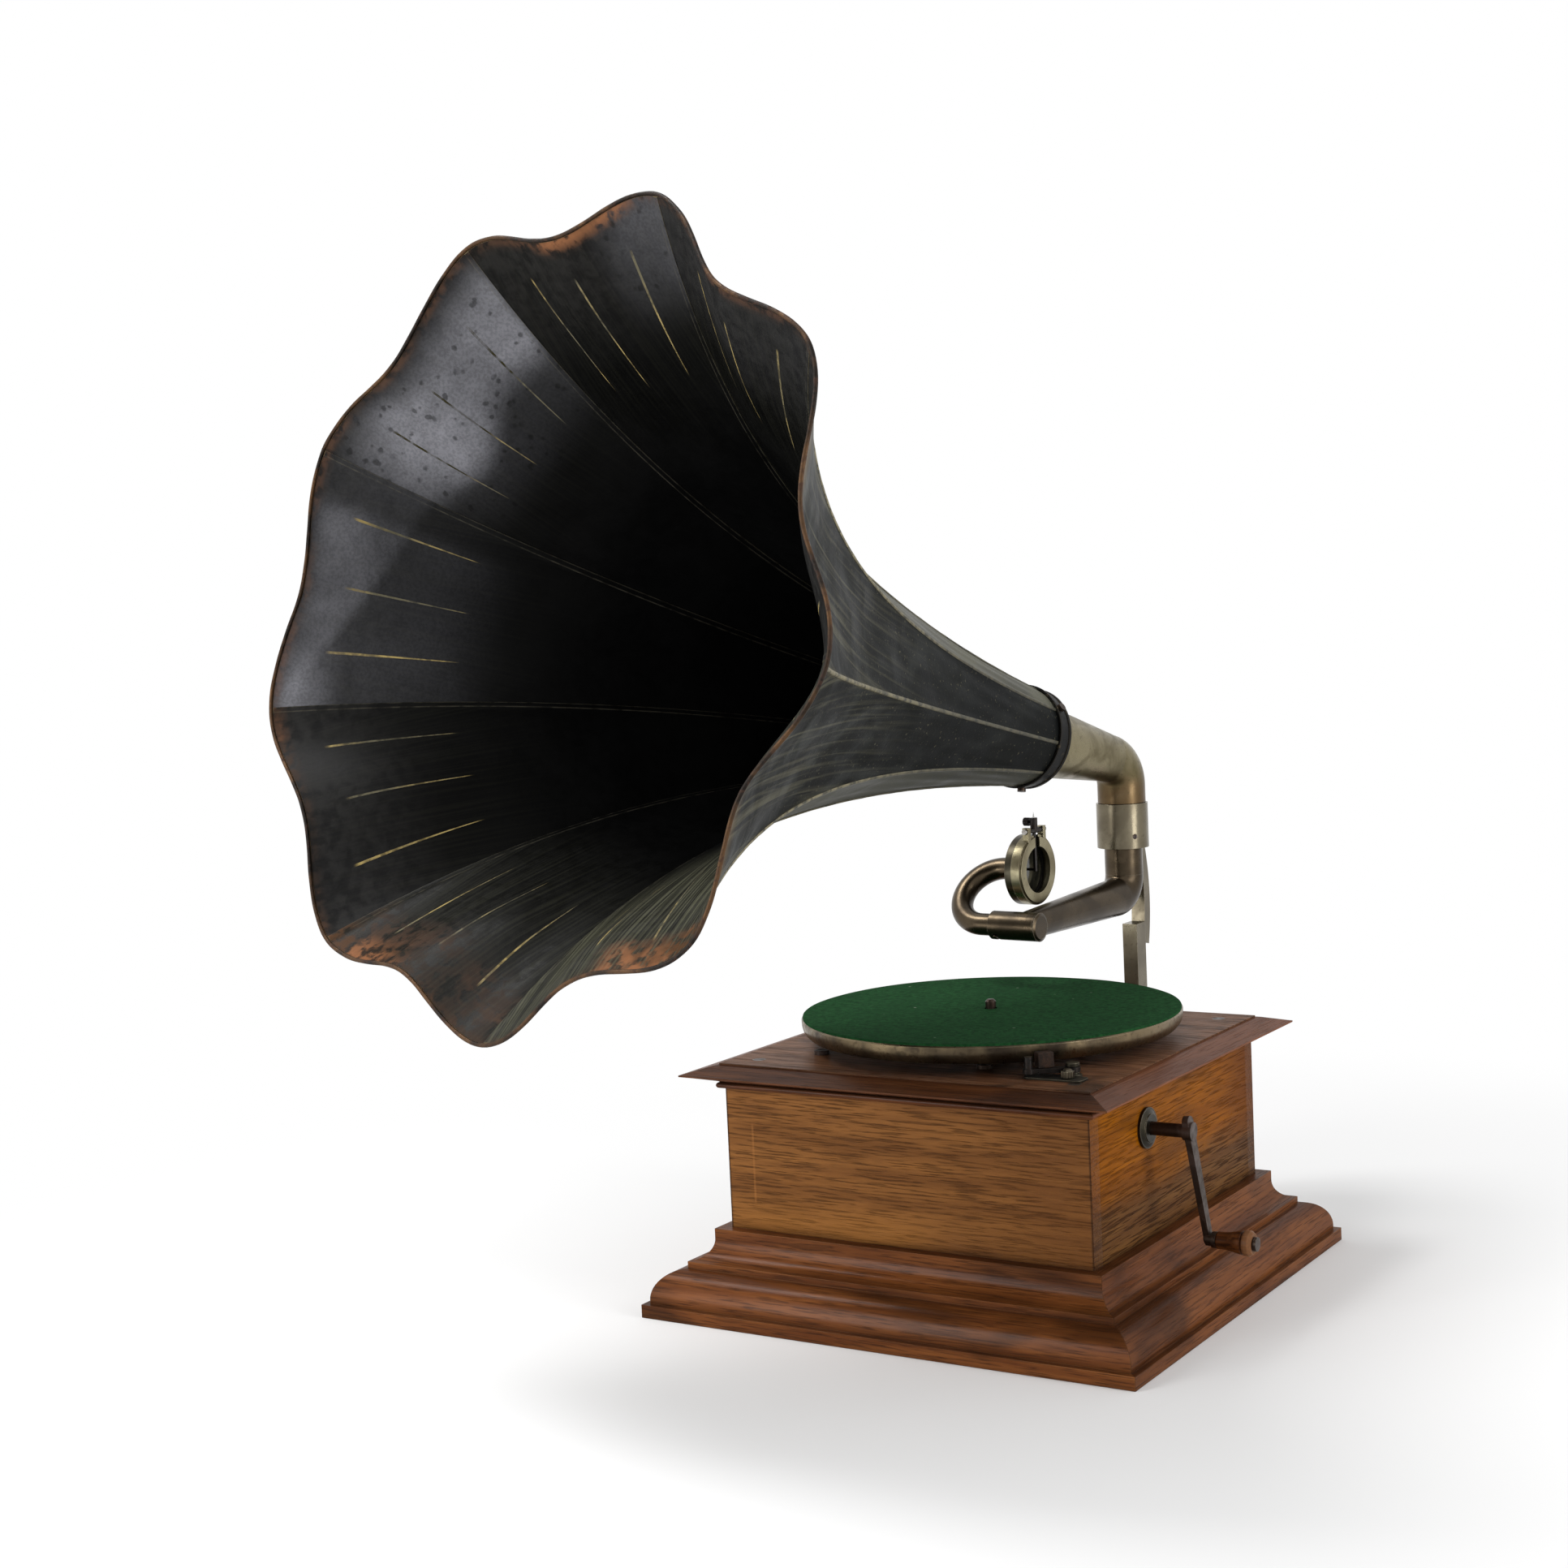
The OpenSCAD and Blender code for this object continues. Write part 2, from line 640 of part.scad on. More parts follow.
module horn_petal(k) {
    cols = petal_cols + 1;
    size = cols * (petal_rows + 1);
    points = [for (side = [0, 1]) for (i = [0:petal_rows]) for (j = [0:petal_cols])
        petal_point(k, row_share(i), half_petal * (2 * j / petal_cols - 1), side * sheet_t)];
    outer = [for (i = [0:petal_rows - 1]) for (j = [0:petal_cols - 1])
        let (p = i * cols + j) each [[p, p + 1, p + cols], [p + 1, p + cols + 1, p + cols]]];
    inner = [for (f = outer) [f[0] + size, f[2] + size, f[1] + size]];
    ends = [for (j = [0:petal_cols - 1]) for (i = [0, petal_rows])
        let (p = i * cols + j, q = p + 1, s = i == 0)
        each [s ? [p, p + size, q] : [p, q, p + size],
              s ? [q, p + size, q + size] : [q, q + size, p + size]]];
    sides = [for (i = [0:petal_rows - 1]) for (j = [0, petal_cols])
        let (p = i * cols + j, q = p + cols, s = j == 0)
        each [s ? [p, q, p + size] : [p, p + size, q],
              s ? [q, q + size, p + size] : [q, p + size, q + size]]];
    color(black_lacquer) horn_frame()
        polyhedron(points = points, faces = concat(outer, inner, ends, sides));
}

// The rim wire follows the sheet's edge, one wire radius beyond it
wire_steps = 12;
wire_sides = 6;
function wire_centre(k, a) =
    let (p = petal_point(k, 1, a, sheet_t / 2), q = petal_point(k, 0.985, a, sheet_t / 2), d = p - q)
    p + d / norm(d) * (wire_r + 0.3);
function wire_point(k, a, s) =
    let (c = wire_centre(k, a), out = [c[0], c[1], 0] / norm([c[0], c[1]]))
    c + wire_r * (cos(s) * out + sin(s) * [0, 0, 1]);

module horn_rim_wire() {
    rings = petal_n * wire_steps;
    points = [for (n = [0:rings - 1]) for (s = [0:wire_sides - 1])
        let (a = half_petal * (2 * (n % wire_steps) / wire_steps - 1))
        wire_point(floor(n / wire_steps), a, 360 * s / wire_sides)];
    faces = [for (n = [0:rings - 1]) for (s = [0:wire_sides - 1])
        let (m = (n + 1) % rings, u = (s + 1) % wire_sides, a = n * wire_sides, b = m * wire_sides)
        each [[a + s, b + s, a + u], [a + u, b + s, b + u]]];
    color(oak_dark) horn_frame() polyhedron(points = points, faces = faces);
}

// Tone arm, built in its turned frame with the arm towards -Y
module arm_frame() {
    translate([0, pivot_y, 0]) rotate([0, 0, -arm_turn]) children();
}

module goose_frame() {
    arm_frame() translate([0, -arm_reach, arm_end_z]) rotate([90 - throw_angle, 0, 0]) children();
}

module box_frame() {
    goose_frame() translate([0, 0, goose_span]) rotate([throw_angle - 90, 0, 0]) children();
}

arm_bend = 90 - arm_slope;
arm_run = (arm_reach - arm_bend_r * (1 - cos(arm_bend))) / sin(arm_bend);
arm_turn_z = arm_end_z + arm_run * cos(arm_bend) + arm_bend_r * sin(arm_bend);
arm_flange_z = shelf_z + seat_gap;
arm_flange_h = 3;
stop_x = -19.2;
stop_r = 1.5;
stop_at = 225;
slot_half = asin((stop_r + seat_gap) / goose_r) + 1;
fit_r = goose_r + run_gap;

module arm_tube(inset) {
    r = arm_r - inset;
    r2 = arm_end_r - inset;
    translate([0, 0, arm_turn_z]) cylinder(r = r, h = arm_flange_z - arm_turn_z + (inset > 0 ? 4 : 1));
    swing_sweep(-arm_bend_r, arm_turn_z, -arm_bend, 0) translate([arm_bend_r, 0]) circle(r = r);
    translate([0, -arm_bend_r * (1 - cos(arm_bend)), arm_turn_z - arm_bend_r * sin(arm_bend)])
        rotate([180 - arm_bend, 0, 0]) cylinder(r1 = r, r2 = r2, h = arm_run);
}

module across(x0, x1, r) {
    translate([x0, 0, 0]) rotate([0, 90, 0]) cylinder(r = r, h = x1 - x0);
}

module tone_arm() {
    color(old_nickel) arm_frame() difference() {
        union() {
            arm_tube(0);
            translate([0, 0, arm_flange_z]) cylinder(r = arm_flange_r, h = arm_flange_h);
            translate([0, -arm_reach, arm_end_z]) across(-sleeve_left, sleeve_right, sleeve_r);
        }
        arm_tube(arm_wall);
        translate([0, -arm_reach, arm_end_z]) {
            across(-sleeve_left - 1, sleeve_right + 1, fit_r);
            swing_sweep(0, 0, stop_at - slot_half, stop_at + goose_travel + slot_half)
                translate([fit_r - 1, stop_x - stop_r - seat_gap])
                    square([sleeve_r - fit_r + 2, 2 * (stop_r + seat_gap)]);
        }
    }
}

module arm_end_cap() {
    color(old_nickel) arm_frame() translate([0, -arm_reach, arm_end_z]) {
        across(sleeve_right - 4, sleeve_right, fit_r);
        across(sleeve_right, sleeve_right + 1.2, sleeve_r);
        translate([sleeve_right + 1.2, 0, 0]) rotate([0, 90, 0])
            cylinder(r1 = sleeve_r - 0.4, r2 = sleeve_r - 2, h = 1);
    }
}

// Gooseneck: a leg turning in the cross tube, a half-turn bend, and a leg into the soundbox
goose_in = 10;
boss_l = 8.5;
boss_r = 10;
box_back = -(box_face + box_t);
box_seam = -(box_face + 8);

module goose_tube(r, extra) {
    across(-goose_out, -goose_in + extra, r);
    translate([-goose_out, 0, goose_span / 2]) rotate([-90, 90, 0])
        rotate_extrude(angle = 180) translate([goose_span / 2, 0]) circle(r = r);
    translate([0, 0, goose_span]) across(-goose_out, box_back - 2.5 + extra, r);
}

module gooseneck() {
    color(old_nickel) goose_frame() difference() {
        union() {
            goose_tube(goose_r, 0);
            rotate([stop_at - (90 - throw_angle) - 90, 0, 0]) translate([stop_x, 0, goose_r - goose_wall])
                cylinder(r = stop_r, h = sleeve_r - goose_r + goose_wall + 0.8);
        }
        goose_tube(goose_r - goose_wall, 1);
    }
}

// Soundbox, upright at rest: the needle side is towards +Z and the face towards +X
gasket_t = 1;
mica_t = 0.4;
seat_r = box_r - 3.8;
mica_x = box_seam - 1;

module soundbox_shell() {
    color(nickel) box_frame() difference() {
        union() {
            across(box_back + 0.8, box_seam, box_r);
            across(box_back, box_back + 1, box_r - 1.4);
            across(box_back - boss_l, box_back + 1, boss_r);
        }
        across(box_back + 2, box_seam + 1, seat_r - 2.4);
        across(mica_x - mica_t / 2 - gasket_t, box_seam + 1, seat_r);
        across(box_back - boss_l - 1, box_back - 2.5, goose_r);
        across(box_back - 3, box_seam, goose_r - goose_wall);
    }
}

notch_w = 6;
stylus_x = -(box_face + 2.6);
ear_y = 8.4;
ear_w = 3.6;
stylus_z = box_r + 3;
module soundbox_ring() {
    color(nickel) box_frame() difference() {
        union() {
            across(box_seam, -box_face - 1.2, box_r);
            across(-box_face - 1.2 - eps, -box_face, box_r - 1.6);
            for (s = [-1, 1]) translate([stylus_x - 2.4, s > 0 ? ear_y : -ear_y - ear_w, box_r - 5])
                cube([4.8, ear_w, stylus_z - box_r + 7.6]);
        }
        across(box_seam - 1, -box_face - 3, seat_r);
        across(-box_face - 4, -box_face + 1, face_hole_r);
        translate([stylus_x - 2.6, -notch_w / 2, face_hole_r - 4]) cube([5.2, notch_w, box_r]);
        for (s = [-1, 1]) translate([stylus_x, 0, stylus_z]) rotate([-90 * s, 0, 0])
            cylinder(r = 1.2, h = ear_y + 2 * ear_w);
    }
}

module soundbox_gaskets() {
    color(black_rubber) box_frame() for (x = [mica_x - mica_t / 2 - gasket_t, mica_x + mica_t / 2])
        difference() {
            across(x, x + gasket_t, seat_r);
            across(x - 1, x + gasket_t + 1, seat_r - 2);
        }
}

module diaphragm() {
    color(mica) box_frame() across(mica_x - mica_t / 2, mica_x + mica_t / 2, seat_r);
}

module rubber_flange() {
    color(black_rubber) box_frame() difference() {
        union() {
            across(box_back - 5.5, box_back, 12.5);
            across(box_back - 7.5, box_back - 5, 11.4);
        }
        across(box_back - boss_l, box_back + 1, boss_r);
    }
}

module pivot_screws() {
    color(bright_steel) box_frame() for (s = [-1, 1]) translate([stylus_x, 0, stylus_z])
        rotate([-90 * s, 0, 0]) {
            translate([0, 0, ear_y - 0.8]) cylinder(r = 1.2, h = ear_w + 0.8);
            translate([0, 0, ear_y + ear_w]) cylinder(r = 2, h = 1.6);
        }
}

chuck_r = 2.6;
chuck_top = 9;
bar_thin = 1.6;
screw_up = 6;
module stylus_bar() {
    foot_x = mica_x + mica_t / 2 + 0.25;
    color(dark_steel) box_frame() translate([stylus_x, 0, 0]) difference() {
        union() {
            translate([0, 0, stylus_z]) rotate([90, 0, 0])
                cylinder(r = 2, h = 2 * (ear_y - 0.8 - 0.25), center = true);
            translate([0, 0, stylus_z]) cylinder(r = chuck_r, h = chuck_top);
            translate([-bar_thin / 2, -1.2, -1.2]) cube([bar_thin, 2.4, stylus_z]);
            across(foot_x - stylus_x, 0, 1);
        }
        translate([0, 0, stylus_z + 1]) cylinder(r = needle_r, h = chuck_top);
        translate([0, 0, stylus_z + screw_up]) across(-chuck_r - 1, 0, 1 + run_gap);
    }
}

module needle() {
    tip = 5;
    color(bright_steel) box_frame() translate([stylus_x, 0, 0]) {
        translate([0, 0, stylus_z + 1]) cylinder(r = needle_r, h = needle_reach - tip - stylus_z - 1);
        translate([0, 0, needle_reach - tip - eps]) cylinder(r1 = needle_r, r2 = 0.12, h = tip + eps);
    }
}

module needle_screw() {
    color(dark_steel) box_frame() translate([stylus_x, 0, stylus_z + screw_up]) difference() {
        union() {
            across(-chuck_r - 1.2, -needle_r - 0.1, 1);
            across(-chuck_r - 5, -chuck_r - 1, 3);
        }
        for (a = [0:30:330]) rotate([a, 0, 0]) translate([0, 0, 3.3]) across(-chuck_r - 6, -chuck_r, 0.6);
    }
}

// Turntable, felt and spindle
worm_r = 4.3;
wheel_teeth = 38;
wheel_t = 6;
gear_addendum = 0.85;
wheel_z = motor_z + 37;
gov_x = wheel_teeth / 2 + gear_addendum + worm_r + 0.25;

platter_low_bevel = 0.6;
platter_bevel = 0.8;
platter_hub_r = 13;
module turntable_platter() {
    color(nickel) translate([0, table_y, 0]) difference() {
        union() {
            translate([0, 0, rim_z + platter_low_bevel])
                cylinder(r = table_r, h = rim_h - platter_low_bevel - platter_bevel);
            translate([0, 0, rim_z])
                cylinder(r1 = table_r - platter_low_bevel, r2 = table_r, h = platter_low_bevel);
            translate([0, 0, platter_z - platter_bevel])
                cylinder(r1 = table_r, r2 = table_r - platter_bevel, h = platter_bevel);
        }
        difference() {
            translate([0, 0, rim_z - 1]) cylinder(r = table_r - rim_t, h = rim_h - plate_t + 1);
            translate([0, 0, rim_z - 2]) cylinder(r = platter_hub_r, h = rim_h);
        }
        translate([0, 0, rim_z - 2]) cylinder(r = spindle_r, h = rim_h + 4);
    }
}

module turntable_felt() {
    color(green_felt) translate([0, table_y, platter_z]) difference() {
        cylinder(r = table_r - felt_inset, h = felt_t);
        translate([0, 0, -1]) cylinder(r = spindle_r + 0.3, h = felt_t + 2);
    }
}

module gear_outline(teeth, module_size) {
    pitch_r = teeth * module_size / 2;
    root_r = pitch_r - 1.15 * module_size;
    tip_r = pitch_r + gear_addendum * module_size;
    step = 360 / teeth;
    polygon([for (i = [0:teeth - 1]) for (p = [[root_r, -0.28], [tip_r, -0.1], [tip_r, 0.1], [root_r, 0.28]])
        let (a = step * (i + p[1])) [p[0] * cos(a), p[0] * sin(a)]]);
}

module gear(teeth, module_size, h, start) {
    rotate([0, 0, start]) linear_extrude(height = h) gear_outline(teeth, module_size);
}

// Gear train: barrel wheel to intermediate pinion, intermediate wheel to spindle pinion
barrel_y = -crank_ahead;
barrel_teeth = 80;
inter_pinion_teeth = 16;
inter_teeth = 75;
spindle_teeth = 15;
train_module = 1;
fine_module = 0.9;
inter_r = 3;
main_gear_r = barrel_teeth * train_module / 2;
mesh_a = (barrel_teeth + inter_pinion_teeth) * train_module / 2;
mesh_b = (inter_teeth + spindle_teeth) * fine_module / 2;
barrel_dx = -barrel_x;
barrel_dy = barrel_y - table_y;
barrel_off = sqrt(barrel_dx * barrel_dx + barrel_dy * barrel_dy);
inter_along = (mesh_b * mesh_b - mesh_a * mesh_a + barrel_off * barrel_off) / (2 * barrel_off);
inter_across = sqrt(mesh_b * mesh_b - inter_along * inter_along);
inter_x = (barrel_dx * inter_along + barrel_dy * inter_across) / barrel_off;
inter_y = table_y + (barrel_dy * inter_along - barrel_dx * inter_across) / barrel_off;
inter_to_barrel = atan2(barrel_y - inter_y, -barrel_x - inter_x);
inter_to_spindle = atan2(table_y - inter_y, -inter_x);

plate_low_t = 6;
plate_top_t = 5;
plate_low_z = motor_z + plate_low_t;
plate_hang = 7;
motor_top = top_under - plate_hang;
plate_up_z = motor_top - plate_top_t;
spindle_foot = motor_z + 2;
fine_z = plate_low_z + 4.5;
fine_h = 3;
main_z = fine_z + fine_h + 2.5;
main_h = 3;
drum_z = main_z + main_h;

// The spindle is necked down through the felt, and its tip above the neck is the size of a
// record's hole
neck_up = 0.5;
tip_bevel = 1.5;
module spindle() {
    color(bright_steel) translate([0, table_y, 0]) {
        translate([0, 0, spindle_foot]) cylinder(r = spindle_r, h = platter_z - spindle_foot);
        translate([0, 0, platter_z - eps])
            cylinder(r = spindle_tip_r - 0.5, h = felt_t + neck_up + 2 * eps);
        translate([0, 0, felt_z + neck_up])
            cylinder(r = spindle_tip_r, h = spindle_tip_h - neck_up - tip_bevel);
        translate([0, 0, felt_z + spindle_tip_h - tip_bevel - eps])
            cylinder(r1 = spindle_tip_r, r2 = spindle_tip_r - tip_bevel, h = tip_bevel);
        translate([0, 0, fine_z - 0.5])
            gear(spindle_teeth, fine_module, fine_h + 1, inter_to_spindle + 180 + 180 / spindle_teeth);
        translate([0, 0, wheel_z - wheel_t / 2]) gear(wheel_teeth, 1, wheel_t, 0);
    }
}

module spring_barrel() {
    color(brass) translate([-barrel_x, barrel_y, 0]) difference() {
        union() {
            translate([0, 0, main_z]) gear(barrel_teeth, train_module, main_h + eps, inter_to_barrel + 180);
            translate([0, 0, drum_z]) cylinder(r = barrel_r, h = barrel_h);
        }
        translate([0, 0, drum_z + 2]) cylinder(r = barrel_r - 2, h = barrel_h - 4);
        translate([0, 0, main_z - 1]) cylinder(r = arbor_r + run_gap, h = barrel_h + 20);
    }
}

arbor_r = 5;
strip_t = 1;
spring_steps = 20;
function spring_radius(i) =
    arbor_r + 2.2 + (barrel_r - 2.4 - arbor_r - 2.2) * i / (spring_turns * spring_steps);
module mainspring() {
    n = spring_turns * spring_steps;
    outer = [for (i = [0:n]) spring_radius(i) * [cos(360 * i / spring_steps), sin(360 * i / spring_steps)]];
    inner = [for (i = [n:-1:0])
        (spring_radius(i) - strip_t) * [cos(360 * i / spring_steps), sin(360 * i / spring_steps)]];
    color(dark_steel) translate([-barrel_x, barrel_y, drum_z + barrel_h / 2 - spring_w / 2])
        linear_extrude(height = spring_w) polygon(concat(outer, inner));
}

bevel_r = 16;
bevel_pinion_r = 8;
bevel_face = 5 / 16;
bevel_gap = 0.3;
ratchet_z = crank_z + 8;
ratchet_r = 12;
ratchet_t = 3;
module bevel(r, teeth, h) {
    step = 360 / teeth;
    linear_extrude(height = h, scale = 1 - bevel_face)
        polygon([for (i = [0:teeth - 1]) for (p = [[r - 2, -0.3], [r, -0.15], [r, 0.15], [r - 2, 0.3]])
            [p[0] * cos(step * (i + p[1])), p[0] * sin(step * (i + p[1]))]]);
}

module winding_arbor() {
    color(bright_steel) translate([-barrel_x, barrel_y, 0]) {
        translate([0, 0, spindle_foot]) cylinder(r = arbor_r, h = motor_top - spindle_foot);
        translate([0, 0, crank_z - bevel_pinion_r - 3]) cylinder(r = bevel_r - 3, h = 3);
        translate([0, 0, crank_z - bevel_pinion_r - bevel_gap])
            bevel(bevel_r - bevel_gap, 24, bevel_pinion_r * bevel_face);
        translate([0, 0, ratchet_z]) linear_extrude(height = ratchet_t)
            polygon([for (i = [0:11]) each [ratchet_r * [cos(30 * i), sin(30 * i)],
                (ratchet_r - 2.4) * [cos(30 * i + 3), sin(30 * i + 3)]]]);
    }
}

pawl_x = -barrel_x - ratchet_r - 2.4;
pawl_y = barrel_y + 18;
module pawl() {
    color(dark_steel) translate([pawl_x, pawl_y, ratchet_z]) difference() {
        union() {
            cylinder(r = 3.5, h = ratchet_t);
            translate([-1.9, -17, 0]) cube([3.4, 17, ratchet_t]);
        }
        translate([0, 0, -1]) cylinder(r = 2 + run_gap, h = 5);
    }
}

module intermediate_gear() {
    color(brass) translate([inter_x, inter_y, 0]) {
        translate([0, 0, spindle_foot]) cylinder(r = inter_r, h = motor_top - spindle_foot);
        translate([0, 0, fine_z]) gear(inter_teeth, fine_module, fine_h, inter_to_spindle);
        translate([0, 0, fine_z + fine_h - eps]) cylinder(r = 6, h = main_z - fine_z - fine_h);
        translate([0, 0, main_z - 0.5]) gear(inter_pinion_teeth, train_module, main_h + 0.5,
            inter_to_barrel + 180 / inter_pinion_teeth);
    }
}

// Motor plates, their pillars, and the bearing lugs that hang from the upper plate
pillar_places = [[-90, -90], [8, -92], [60, 28], [-90, 28]];
plate_x0 = -98;
plate_x1 = 66;
plate_y0 = -98;
plate_y1 = 36;
shaft_r = 5;
gov_r = 2.5;
gov_front = -86;
gov_back = 10;
lug_t = 6;
lug_in_x = -30;
lug_out_x = in_w - 30.5;
lug_w = 10;
ring_w = 3;
lever_x = 52;
lever_y = -76;
lever_post_r = 3;

module plate_holes(z, h) {
    translate([0, table_y, z]) cylinder(r = spindle_r + run_gap, h = h);
    translate([-barrel_x, barrel_y, z]) cylinder(r = arbor_r + run_gap, h = h);
    translate([inter_x, inter_y, z]) cylinder(r = inter_r + run_gap, h = h);
}

module motor_bottom_plate() {
    color(cast_iron) difference() {
        translate([plate_x0, plate_y0, motor_z])
            cube([plate_x1 - plate_x0, plate_y1 - plate_y0, plate_low_t]);
        plate_holes(spindle_foot, plate_low_t);
        for (p = pillar_places) translate([p[0], p[1], motor_z - 1])
            cylinder(r = pillar_r - 2, h = plate_low_t + 2);
    }
}

module motor_top_plate() {
    tab_y = 11;
    tab_l = lug_out_x + lug_w - plate_x1 + 2;
    drop = plate_up_z - crank_z + shaft_r + 5;
    gov_drop = plate_up_z - wheel_z + 6;
    color(cast_iron) difference() {
        union() {
            translate([plate_x0, plate_y0, plate_up_z])
                cube([plate_x1 - plate_x0, plate_y1 - plate_y0, plate_top_t]);
            translate([plate_x1 - 1, -crank_ahead - tab_y, plate_up_z])
                cube([tab_l, 2 * tab_y, plate_top_t]);
            for (p = bolt_places) translate([p[0], p[1], motor_top - eps])
                cylinder(r = 7, h = plate_hang + eps);
            for (x = [lug_in_x, lug_out_x]) translate([x, -crank_ahead - 9, plate_up_z - drop])
                cube([lug_w, 18, drop + 1]);
            for (y = [gov_front - lug_t, gov_back]) translate([gov_x - 6, y, plate_up_z - gov_drop])
                cube([12, lug_t, gov_drop + 1]);
            translate([lever_x, lever_y, wheel_z - 7])
                cylinder(r = lever_post_r, h = plate_up_z - wheel_z + 8);
            translate([lever_x, lever_y, wheel_z + 3.3]) cylinder(r = 5, h = plate_up_z - wheel_z - 3);
            translate([pawl_x, pawl_y, ratchet_z - 1]) cylinder(r = 2, h = plate_up_z - ratchet_z + 2);
        }
        plate_holes(plate_up_z - 1, plate_top_t + 2);
        for (p = bolt_places) translate([p[0], p[1], plate_up_z - 1])
            cylinder(r = bolt_r, h = plate_hang + 10);
        for (p = pillar_places) translate([p[0], p[1], plate_up_z - 1])
            cylinder(r = pillar_r - 2, h = plate_top_t + 2);
        translate([0, -crank_ahead, crank_z])
            across(lug_in_x - 1, lug_out_x + lug_w + 1, shaft_r + run_gap);
        translate([gov_x, gov_front - lug_t - 1, wheel_z]) rotate([-90, 0, 0])
            cylinder(r = gov_r + run_gap, h = gov_back - gov_front + 2 * lug_t + 2);
    }
}

module motor_pillars() {
    color(bright_steel) for (p = pillar_places) translate([p[0], p[1], 0]) {
        translate([0, 0, plate_low_z]) cylinder(r = pillar_r, h = plate_up_z - plate_low_z);
        translate([0, 0, motor_z]) cylinder(r = pillar_r - 2, h = motor_top - motor_z);
    }
}

module motor_bolts() {
    color(bright_steel) difference() {
        for (p = bolt_places) translate([p[0], p[1], 0]) {
            translate([0, 0, plate_up_z]) cylinder(r = bolt_r, h = top_z - plate_up_z);
            translate([0, 0, top_z]) cylinder(r = 2 * bolt_r, h = 2.6);
        }
        for (p = bolt_places) translate([p[0] - 6, p[1] - 0.5, top_z + 1.4]) cube([12, 1, 3]);
    }
}

// Governor: shaft with worm, fixed collar and friction disc, and three sprung balls
gov_collar_y = -14;
gov_collar_l = 4;
disc_y = -70;
disc_r = 14;
disc_t = 3;
sleeve_l = 6;
ball_y = (gov_collar_y - gov_collar_l / 2 + disc_y + sleeve_l / 2) / 2;
ball_out = 11;
module along(y0, y1, r) {
    translate([0, y1, 0]) rotate([90, 0, 0]) cylinder(r = r, h = y1 - y0);
}

module governor() {
    worm_pitch = 2.4;
    color(bright_steel) translate([gov_x, 0, wheel_z]) {
        along(gov_front - lug_t, gov_back + lug_t, gov_r);
        along(table_y - 9, table_y + 9, worm_r - 1.6);
        for (i = [-3:3]) translate([0, table_y + i * worm_pitch, 0]) {
            along(-0.5, 0.5, worm_r);
        }
        along(gov_collar_y - gov_collar_l, gov_collar_y, 6);
        along(disc_y - disc_t, disc_y, disc_r);
        along(disc_y - eps, disc_y + sleeve_l, 6);
        along(gov_front + 0.3, gov_front + 2.3, 4);
        along(gov_back - 2.3, gov_back - 0.3, 4);
    }
}

module governor_weights() {
    y0 = disc_y + 1;
    y1 = gov_collar_y - 0.5;
    bow = [for (i = [0:10]) let (u = i / 10)
        [y0 + (y1 - y0) * u, 6.2 + (ball_out - 6.2 - ball_r / 3) * sin(180 * u)]];
    back = [for (i = [10:-1:0]) bow[i] + [0, 0.6]];
    color(brass) translate([gov_x, 0, wheel_z]) for (a = [90, 210, 330]) rotate([0, a, 0]) {
        translate([2.5, 0, 0]) rotate([90, 0, -90]) linear_extrude(height = 5)
            polygon([for (p = concat(bow, back)) [-p[0], p[1]]]);
        translate([0, ball_y, ball_out]) sphere(r = ball_r);
    }
}

// Winding shaft inside the case, with the bevel pinion, and the crank that screws into it
shaft_x0 = -barrel_x + bevel_r * (1 - bevel_face) - 0.5;
shaft_x1 = in_w - 10;
socket_r = 3.2;
socket_l = 20;
module crank_axis() {
    translate([0, -crank_ahead, crank_z]) children();
}

module winding_shaft() {
    color(bright_steel) crank_axis() difference() {
        union() {
            across(shaft_x0, shaft_x1, shaft_r);
            translate([-barrel_x + bevel_r + bevel_gap, 0, 0]) rotate([0, -90, 0])
                bevel(bevel_pinion_r - bevel_gap, 12, bevel_r * bevel_face);
            across(lug_in_x - seat_gap - ring_w, lug_in_x - seat_gap, shaft_r + 2.4);
            across(lug_out_x + lug_w + seat_gap, lug_out_x + lug_w + seat_gap + ring_w, shaft_r + 2.4);
        }
        across(shaft_x1 - socket_l, shaft_x1 + 1, socket_r);
    }
}

bush_r = 8;
bush_flange_r = 13;
bush_flange_t = 2;
bush_rim_r = 9;
module escutcheon() {
    color(old_nickel) crank_axis() difference() {
        union() {
            across(in_w, half_w, bush_r);
            across(half_w, half_w + bush_flange_t, bush_flange_r);
            across(half_w + bush_flange_t - eps, half_w + 2 * bush_flange_t, bush_rim_r);
            translate([half_w + bush_flange_t - eps, 0, 0]) rotate([0, 90, 0])
                cylinder(r1 = bush_flange_r - 1, r2 = bush_rim_r + 0.5, h = 1.2);
        }
        across(in_w - 1, half_w + 2 * bush_flange_t + 1, crank_rod_r + run_gap * 2);
    }
}

arm_x = half_w + crank_out;
arm_w = 7;
arm_t = 4;
hub_up = 5;
pin_r = 2.5;
lean_angle = atan2(crank_lean, crank_l);
module crank_turned() {
    crank_axis() rotate([crank_angle, 0, 0]) children();
}

